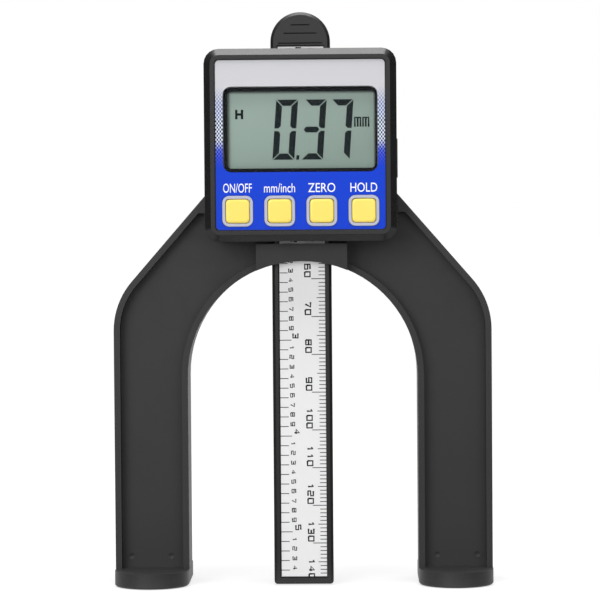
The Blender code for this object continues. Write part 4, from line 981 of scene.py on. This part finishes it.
@dataclass
class DisplayReading:
    """The dark segments that show a reading: three slanted digits, a point, the unit and a mode letter."""

    palette: Palette
    digits: str = "037"
    digit_height_mm: float = 15.65
    digit_width_mm: float = 5.72
    digit_pitch_mm: float = 7.22
    stroke_mm: float = 1.62
    gap_mm: float = 0.14
    middle_gap_mm: float = 0.35
    cut_mm: float = 0.6
    middle_half_share: float = 0.46
    slant: float = 0.072
    left_mm: float = -7.35
    low_mm: float = 112.34
    shifts_mm: tuple[float, ...] = (0.0, 0.24, 0.0)
    film_mm: float = 0.02
    glass_gap_mm: float = 0.03
    point_gap_mm: float = 0.5
    point_mm: tuple[float, float] = (0.76, 1.15)
    mode_type: StrokeLettering = StrokeLettering(3.08, 2.12, 0.3, 0.62)
    mode_at_mm: tuple[float, float] = (-17.0, 122.68)
    unit_type: StrokeLettering = StrokeLettering(2.85, 1.92, 0.2, 0.46)
    unit_at_mm: tuple[float, float] = (14.02, 120.6)
    segments: dict[str, str] = field(default_factory=lambda: {"0": "abcdef", "3": "abcdg", "7": "abc"})

    def build(self) -> None:
        """Builds the reading just in front of the display glass."""
        front_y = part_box("lcd_panel")[0].y - self.glass_gap_mm * MM
        bars = []
        for index, digit in enumerate(self.digits):
            left_mm = self.left_mm + index * self.digit_pitch_mm + self.shifts_mm[index]
            for name in self.segments[digit]:
                bars.append(self.bar(name, Vector((left_mm, 0.0, self.low_mm)) * MM))
        point_at = Vector((self.left_mm + self.digit_width_mm + self.point_gap_mm, 0.0, self.low_mm)) * MM
        width, height = self.point_mm
        bars.append(block("point", point_at, point_at + Vector((width, self.film_mm, height)) * MM))
        reading = joined(bars, "display_reading", self.palette["segment"])
        slope = Matrix(((1, 0, self.slant, -self.slant * self.low_mm * MM), (0, 1, 0, 0), (0, 0, 1, 0), (0, 0, 0, 1)))
        reading.data.transform(Matrix.Translation(Vector((0.0, front_y, 0.0))) @ slope)
        fitted(reading, Body.FRAME, "display_glass")
        signs = [
            style.written("sign", words, Vector((across * MM, front_y, up * MM)))
            for style, words, (across, up) in (
                (self.mode_type, "H", self.mode_at_mm), (self.unit_type, "mm", self.unit_at_mm),
            )
        ]
        fitted(joined(signs, "display_signs", self.palette["segment"]), Body.FRAME, "display_glass")

    def bar(self, name: str, origin: Vector) -> Piece:
        """Shapes one segment from a plain block: its inner edge is mitred and cut, or both ends are pointed.

        Args:
            name: Segment letter, a to g, clockwise from the top and then the middle.
            origin: Lower left corner of its digit.

        Returns:
            The segment.
        """
        wide, tall, pen, gap = self.digit_width_mm, self.digit_height_mm, self.stroke_mm, self.gap_mm
        middle, rest, inset = tall / 2, self.middle_gap_mm, gap * 1.5
        thick = pen * self.middle_half_share
        boxes = {
            "a": (inset, tall - pen, wide - inset, tall),
            "d": (inset, 0.0, wide - inset, pen),
            "b": (wide - pen, middle + rest, wide, tall - gap),
            "c": (wide - pen, gap, wide, middle - rest),
            "e": (0.0, gap, pen, middle - rest),
            "f": (0.0, middle + rest, pen, tall - gap),
            "g": (inset, middle - thick, wide - pen + inset, middle + thick),
        }
        left, low, right, high = boxes[name]
        start = origin + Vector((left, 0.0, low)) * MM
        end = origin + Vector((right, self.film_mm, high)) * MM
        bar = block(f"segment_{name}", start, end)
        if name in "adg":
            self.narrow(bar, name, start, end)
        else:
            self.mitre(bar, name, start, end)
        return bar

    def narrow(self, bar: Piece, name: str, start: Vector, end: Vector) -> None:
        """Shortens a level segment's inner edge, or both edges of the middle one, which points its ends.

        Args:
            bar: The plain block.
            name: Its letter: a, d or g.
            start: Its lowest corner.
            end: Its highest corner.
        """
        centre = (start + end) / 2
        pen = self.stroke_mm * MM
        with editing(bar):
            if name == "g":
                bpy.ops.mesh.select_all(action="SELECT")
                bpy.ops.mesh.subdivide(number_cuts=1)
                bpy.ops.mesh.select_all(action="DESELECT")
                pick(bar, Element.POINTS, lambda point: abs(point.co.z - centre.z) > pen / 4
                     and min(abs(point.co.x - x) for x in (start.x, end.x)) < SAME_PLACE)
            else:
                inner_z = start.z if name == "a" else end.z
                pick(bar, Element.POINTS, lambda point: abs(point.co.z - inner_z) < SAME_PLACE)
            cut = self.cut_mm * MM if name == "g" else pen
            length = end.x - start.x
            bpy.ops.transform.resize(value=((length - 2 * cut) / length, 1.0, 1.0), center_override=centre)

    def mitre(self, bar: Piece, name: str, start: Vector, end: Vector) -> None:
        """Mitres an upright segment's outer end and cuts the inner corner at its other end.

        Args:
            bar: The plain block.
            name: Its letter: b, c, e or f.
            start: Its lowest corner.
            end: Its highest corner.
        """
        upper = name in "bf"
        outer_z, middle_z = (end.z, start.z) if upper else (start.z, end.z)
        inner_x = start.x if name in "bc" else end.x

        def is_corner(place: Vector, z: float) -> bool:
            """Tells whether a place is on the inner edge at this height."""
            return abs(place.x - inner_x) < SAME_PLACE and abs(place.z - z) < SAME_PLACE

        with editing(bar):
            pick(bar, Element.POINTS, lambda point: is_corner(point.co, outer_z))
            bpy.ops.transform.translate(value=(0.0, 0.0, (-1 if upper else 1) * self.stroke_mm * MM))
            bpy.ops.mesh.select_mode(type="EDGE")
            bpy.ops.mesh.select_all(action="DESELECT")
            points = bar.data.vertices
            pick(bar, Element.EDGES, lambda edge: all(is_corner(points[index].co, middle_z) for index in edge.vertices))
            bpy.ops.mesh.bevel(offset=self.cut_mm * MM, segments=1)


@dataclass(frozen=True)
class NumberColumn:
    """One column of numbers down the blade.

    A number starts this far from the label's edge at height zero, and this far above its line.
    """

    style: StrokeLettering
    across_mm: float
    rise_mm: float


@dataclass
class MeasuringBlade:
    """The sliding blade and its ruled label."""

    palette: Palette
    edge_radius_mm: float = 0.06
    zero_z_mm: float = 141.0
    tick_mm: float = 0.2
    millimetre_ticks: Triple = (1.7, 2.25, 3.65)
    inch_ticks: tuple[float, float] = (2.35, 3.2)
    millimetres: NumberColumn = NumberColumn(StrokeLettering(1.85, 1.72, 0.28, 0.46, Turn.CLOCKWISE), -4.92, 0.32)
    tenths: NumberColumn = NumberColumn(StrokeLettering(1.28, 1.25, 0.3, 0.32, Turn.CLOCKWISE), 3.11, 0.02)
    inches: NumberColumn = NumberColumn(StrokeLettering(1.7, 1.6, 0.3, 0.42, Turn.CLOCKWISE), 3.95, 0.38)
    common_zero_mm: tuple[float, float] = (5.77, 0.1)
    number_lean: float = 0.0075
    label_margin_mm: float = 0.05
    # Painted shade in the grip grooves: each groove's height and half length, the strips' half height, and their depths
    # behind the tab's face.
    grips_mm: tuple[tuple[float, float], ...] = ((143.066, 5.83), (145.664, 4.27), (147.855, 2.42))
    grip_half_mm: float = 0.14
    grip_depths_mm: tuple[float, float] = (0.1, 0.5)

    def build(self) -> None:
        """Builds the blade, its board and its printed scale."""
        blade = softened("blade_body", "blade_moulding", self.edge_radius_mm, self.palette["blade"])
        fitted(blade, Body.BLADE, "blade_plastic", "blade_body")
        self.shade_grips()
        dressed("scale_board", self.palette["laminate"])
        dressed("scale_label", self.palette["label"])
        self.print_ticks()
        self.print_numbers()

    def shade_grips(self) -> None:
        """Lays dark matt strips in the grip grooves across the tab, as painted shade that darkens the grooves."""
        front_y, back_y = (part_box("blade_body")[0].y + depth * MM for depth in self.grip_depths_mm)
        shadow_strips = []
        for z_mm, half_mm in self.grips_mm:
            low = Vector((-half_mm * MM, front_y, (z_mm - self.grip_half_mm) * MM))
            high = Vector((half_mm * MM, back_y, (z_mm + self.grip_half_mm) * MM))
            shadow_strips.append(block("grip_shadow_strip", low, high))
        fitted(joined(shadow_strips, "grip_groove_shadows", self.palette["mask"]), Body.BLADE, "blade_plastic")

    def print_ticks(self) -> None:
        """Rules millimetres down the right edge and tenths of an inch down the left, and lays thin dark lines along the
        left and bottom edges as painted shadow of the gap round the label.
        """
        low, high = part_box("scale_label")
        drop_mm = self.zero_z_mm - (low.z / MM + self.tick_mm)
        ticks_and_gap_shadow = []
        for count in range(int(drop_mm) + 1):
            length = self.millimetre_ticks[0 if count % 5 else 1 if count % 10 else 2]
            ticks_and_gap_shadow.append(self.tick(self.zero_z_mm - count, high.x / MM - length, high.x / MM))
        for count in range(int(drop_mm / INCH_MM * 10) + 1):
            length = self.inch_ticks[0 if count % 10 else 1]
            ticks_and_gap_shadow.append(self.tick(self.zero_z_mm - count * INCH_MM / 10, low.x / MM, low.x / MM + length))
        # Painted shadow of the gap between the recessed label and the channel round it, along its left and bottom
        # edges.
        gap_shadow_width = self.tick_mm * MM
        ticks_and_gap_shadow.append(self.line(low.x, low.x + gap_shadow_width, low.z, high.z))
        ticks_and_gap_shadow.append(self.line(low.x + gap_shadow_width, high.x, low.z, low.z + gap_shadow_width))
        fitted(joined(ticks_and_gap_shadow, "scale_ticks_and_gap_shadow", self.palette["ink"]), Body.BLADE, "scale_print")

    def tick(self, z_mm: float, left_mm: float, right_mm: float) -> Piece:
        """Rules one level line on the label."""
        return self.line(
            left_mm * MM, right_mm * MM, (z_mm - self.tick_mm / 2) * MM, (z_mm + self.tick_mm / 2) * MM,
        )

    def line(self, left: float, right: float, low: float, high: float) -> Piece:
        """Lays a flat bar of ink on the label, with its four edges in metres.

        Args:
            left: Its left edge.
            right: Its right edge.
            low: Its lower edge.
            high: Its upper edge.

        Returns:
            The bar.
        """
        face_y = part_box("scale_label")[0].y
        front_y, back_y = face_y - INK_MM * MM, face_y - INK_GAP_MM * MM
        return block("ink_line", Vector((left, front_y, low)), Vector((right, back_y, high)))

    def print_numbers(self) -> None:
        """Numbers every tenth millimetre, every inch and every tenth of an inch, each turned to read downwards."""
        low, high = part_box("scale_label")
        left_mm, right_mm = low.x / MM, high.x / MM
        marks = []
        for count in range(10, int(self.zero_z_mm) + 1, 10):
            marks.append(self.number(self.millimetres, str(count), self.zero_z_mm - count, right_mm))
        across_mm, drop_mm = self.common_zero_mm
        marks.append(self.at(self.inches.style, "0", left_mm + across_mm, high.z / MM - drop_mm))
        for count in range(1, int((self.zero_z_mm - low.z / MM) / INCH_MM * 10) + 1):
            whole = count % 10 == 0
            column, words = (self.inches, count // 10) if whole else (self.tenths, count % 10)
            marks.append(self.number(column, str(words), self.zero_z_mm - count * INCH_MM / 10, left_mm))
        piece = joined(marks, "scale_numbers", self.palette["ink"])
        bottom = (0.0, 0.0, low.z + self.label_margin_mm * MM)
        with editing(piece, Element.FACES):
            bpy.ops.mesh.select_all(action="SELECT")
            bpy.ops.mesh.bisect(plane_co=bottom, plane_no=(0.0, 0.0, 1.0), clear_inner=True, use_fill=True)
        fitted(piece, Body.BLADE, "scale_print")

    def number(self, column: NumberColumn, words: str, line_mm: float, edge_mm: float) -> Piece:
        """Writes a number beside its line.

        Args:
            column: The column that it stands in.
            words: Its digits.
            line_mm: Height of its line.
            edge_mm: Place across of the label's edge that the column is measured from.

        Returns:
            The number.
        """
        start_mm = line_mm + column.rise_mm + column.style.length_mm(words)
        return self.at(column.style, words, edge_mm + column.across_mm, start_mm)

    def at(self, style: StrokeLettering, words: str, across_mm: float, start_mm: float) -> Piece:
        """Writes a number on the label.

        Args:
            style: Its lettering.
            words: Its digits.
            across_mm: Place across of its base, before the columns' lean.
            start_mm: Height at which it starts, to run downwards.

        Returns:
            The number.
        """
        middle_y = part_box("scale_label")[0].y - (INK_MM + INK_GAP_MM) / 2 * MM
        place = Vector(((across_mm - self.number_lean * start_mm) * MM, middle_y, start_mm * MM))
        return style.written("number", words, place)


@dataclass
class Studio:
    """A white floor, soft lamps, dark cards and the camera of the photograph. Places are in metres."""

    distance_mm: float = 800.0
    rise_deg: float = 2.0
    swing_deg: float = 1.0
    roll_deg: float = 0.428
    focal_px: float = 2992.3
    aim_mm: Triple = (-0.71, 0.0, 75.05)
    image_px: int = 600
    sensor_mm: float = 36.0
    clip: tuple[float, float] = (0.01, 50.0)
    floor_size: float = 12.0
    floor_z: float = -0.0002
    floor_shade: str = "c8c8c8"
    shadow_shade: str = "a0a0a0"
    near_far: tuple[float, float] = (0.15, 1.6)
    near_far_glow: tuple[float, float] = (0.7, 0.92)
    soft_light: float = 0.3
    extra_sheen: float = 0.4
    lamp_aim: Triple = (0.0, 0.0, 0.08)
    lamps: tuple[tuple[str, Triple, float, float], ...] = (
        ("key_softbox", (-0.6, -1.2, 0.42), 0.7, 7.1),
        ("fill_softbox", (0.45, -1.25, 0.1), 0.8, 1.9),
        ("top_softbox", (0.0, -0.12, 0.85), 0.55, 8.0),
    )
    cards: tuple[tuple[str, Triple, float, float, str], ...] = (
        ("left_card", (-0.42, -0.1, 0.35), math.pi / 2, 0.7, "686868"),
        ("right_card", (0.42, -0.1, 0.35), math.pi / 2, 0.7, "686868"),
        ("front_card", (0.0, -0.3075, 0.0005), 0.0, 0.565, "0a0a0a"),
    )

    def build(self) -> None:
        """Sets up the camera, the floor, the surroundings, the lamps and the cards."""
        self.camera()
        self.floor()
        self.surroundings()
        for name, place, size, power in self.lamps:
            self.lamp(name, Vector(place), size, power)
        for name, place, tilt, size, shade in self.cards:
            self.card(name, place, tilt, size, shade)
        bpy.context.scene.view_settings.view_transform = "Standard"

    def camera(self) -> None:
        """Places the camera where the blade's scale and the frame's edges put the photographer's."""
        rise, swing, roll = (math.radians(angle) for angle in (self.rise_deg, self.swing_deg, self.roll_deg))
        forward = Vector((-math.sin(swing) * math.cos(rise), math.cos(swing) * math.cos(rise), -math.sin(rise)))
        level = Vector((math.cos(swing), math.sin(swing), 0.0))
        above = level.cross(forward)
        right = math.cos(roll) * level - math.sin(roll) * above
        up = math.sin(roll) * level + math.cos(roll) * above
        data = bpy.data.cameras.new("product_camera")
        data.sensor_width = self.sensor_mm
        data.sensor_fit = "HORIZONTAL"
        data.lens = self.focal_px * self.sensor_mm / self.image_px
        data.clip_start, data.clip_end = self.clip
        camera = bpy.data.objects.new("product_camera", data)
        bpy.context.scene.collection.objects.link(camera)
        axes = Matrix((right, up, -forward)).transposed().to_4x4()
        place = Vector(self.aim_mm) * MM - forward * self.distance_mm * MM
        camera.matrix_world = Matrix.Translation(place) @ axes
        bpy.context.scene.camera = camera

    def seeing(self, graph: Graph) -> tuple[Output, Output]:
        """Finds which rays see: those from the camera, and those through gloss or glass.

        Args:
            graph: Tree that asks.

        Returns:
            An output that is 1 for every ray that sees, and one that is 1 for a mirrored ray.
        """
        path = graph.add("LightPath").outputs
        seen = path["Is Camera Ray"]
        for name in ("Is Glossy Ray", "Is Transmission Ray"):
            seen = graph.add("Math", {"operation": "MAXIMUM", 0: seen, 1: path[name]}).outputs[0]
        return seen, path["Is Glossy Ray"]

    def sheet(self, name: str, place: Triple, tilt: float, size: float) -> Piece:
        """Lays a square sheet for the studio.

        Args:
            name: Its name.
            place: Its middle.
            tilt: Its turn about Y, in radians.
            size: Its side.

        Returns:
            The sheet.
        """
        bpy.ops.object.select_all(action="DESELECT")
        bpy.ops.mesh.primitive_plane_add(size=size, location=place, rotation=(0.0, tilt, 0.0))
        piece = bpy.context.active_object
        piece.name = name
        return piece

    def floor(self) -> None:
        """Lays the white table, which keeps the gauge's shadow."""
        table = self.sheet("white_table", (0.0, 0.0, self.floor_z), 0.0, self.floor_size)
        material = bpy.data.materials.new("white_sweep_paper")
        material.use_nodes = True
        material.node_tree.nodes.clear()
        graph = Graph(material.node_tree)
        matt = graph.add("BsdfDiffuse", {"Color": linear(self.floor_shade)})
        place = graph.add("TexCoord").outputs["Object"]
        reach = graph.add("VectorMath", {"operation": "LENGTH", 0: place}).outputs["Value"]
        ends = dict(zip(("From Min", "From Max", "To Min", "To Max"), (*self.near_far, *self.near_far_glow)))
        glow = graph.add("Emission", {"Color": WHITE, "Strength": graph.add("MapRange", {"Value": reach, **ends})})
        dim = graph.add("BsdfDiffuse", {"Color": linear(self.shadow_shade)})
        both = graph.add("AddShader", {0: glow, 1: dim})
        mix = graph.add("MixShader", {0: self.seeing(graph)[0], 1: matt, 2: both})
        graph.add("OutputMaterial", {"Surface": mix})
        table.data.materials.append(material)

    def surroundings(self) -> None:
        """Makes the surroundings white to the eye, brighter where mirrored, and a plain soft light for the rest."""
        world = bpy.data.worlds.new("white_studio")
        world.use_nodes = True
        world.node_tree.nodes.clear()
        bpy.context.scene.world = world
        graph = Graph(world.node_tree)
        seen, mirrored = self.seeing(graph)
        base = graph.add("MapRange", {"Value": seen, "To Min": self.soft_light})
        strength = graph.add("Math", {"operation": "MULTIPLY_ADD", 0: mirrored, 1: self.extra_sheen, 2: base})
        light = graph.add("Background", {"Color": WHITE, "Strength": strength})
        graph.add("OutputWorld", {"Surface": light})

    def lamp(self, name: str, place: Vector, size: float, power: float) -> None:
        """Hangs a square softbox aimed at the gauge.

        Args:
            name: Its name.
            place: Its middle.
            size: Its side.
            power: Its power in watts.
        """
        data = bpy.data.lights.new(name, "AREA")
        data.shape = "SQUARE"
        data.size = size
        data.energy = power
        lamp = bpy.data.objects.new(name, data)
        bpy.context.scene.collection.objects.link(lamp)
        toward = Vector(self.lamp_aim) - place
        lamp.matrix_world = Matrix.Translation(place) @ toward.to_track_quat("-Z", "Y").to_matrix().to_4x4()

    def card(self, name: str, place: Triple, tilt: float, size: float, shade: str) -> None:
        """Sets up a card that only mirrored rays meet, so that the gauge's faces keep their depth.

        Args:
            name: Its name.
            place: Its middle.
            tilt: Its turn about Y, in radians.
            size: Its side.
            shade: Its colour.
        """
        card = self.sheet(name, place, tilt, size)
        material = bpy.data.materials.new(f"{name}_paint")
        material.use_nodes = True
        shader = material.node_tree.nodes["Principled BSDF"]
        shader.inputs["Base Color"].default_value = linear(shade)
        shader.inputs["Roughness"].default_value = 1.0
        card.data.materials.append(material)
        card.visible_camera = False
        card.visible_diffuse = False
        card.visible_shadow = False


def main() -> None:
    """Builds the studio and every part of the gauge."""
    logging.basicConfig(level=logging.INFO, format="%(message)s")
    palette = mixed_palette()
    Studio().build()
    ArchFrame(palette).build()
    DisplayModule(palette).build()
    DisplayReading(palette).build()
    MeasuringBlade(palette).build()


if __name__ == "__main__":
    main()
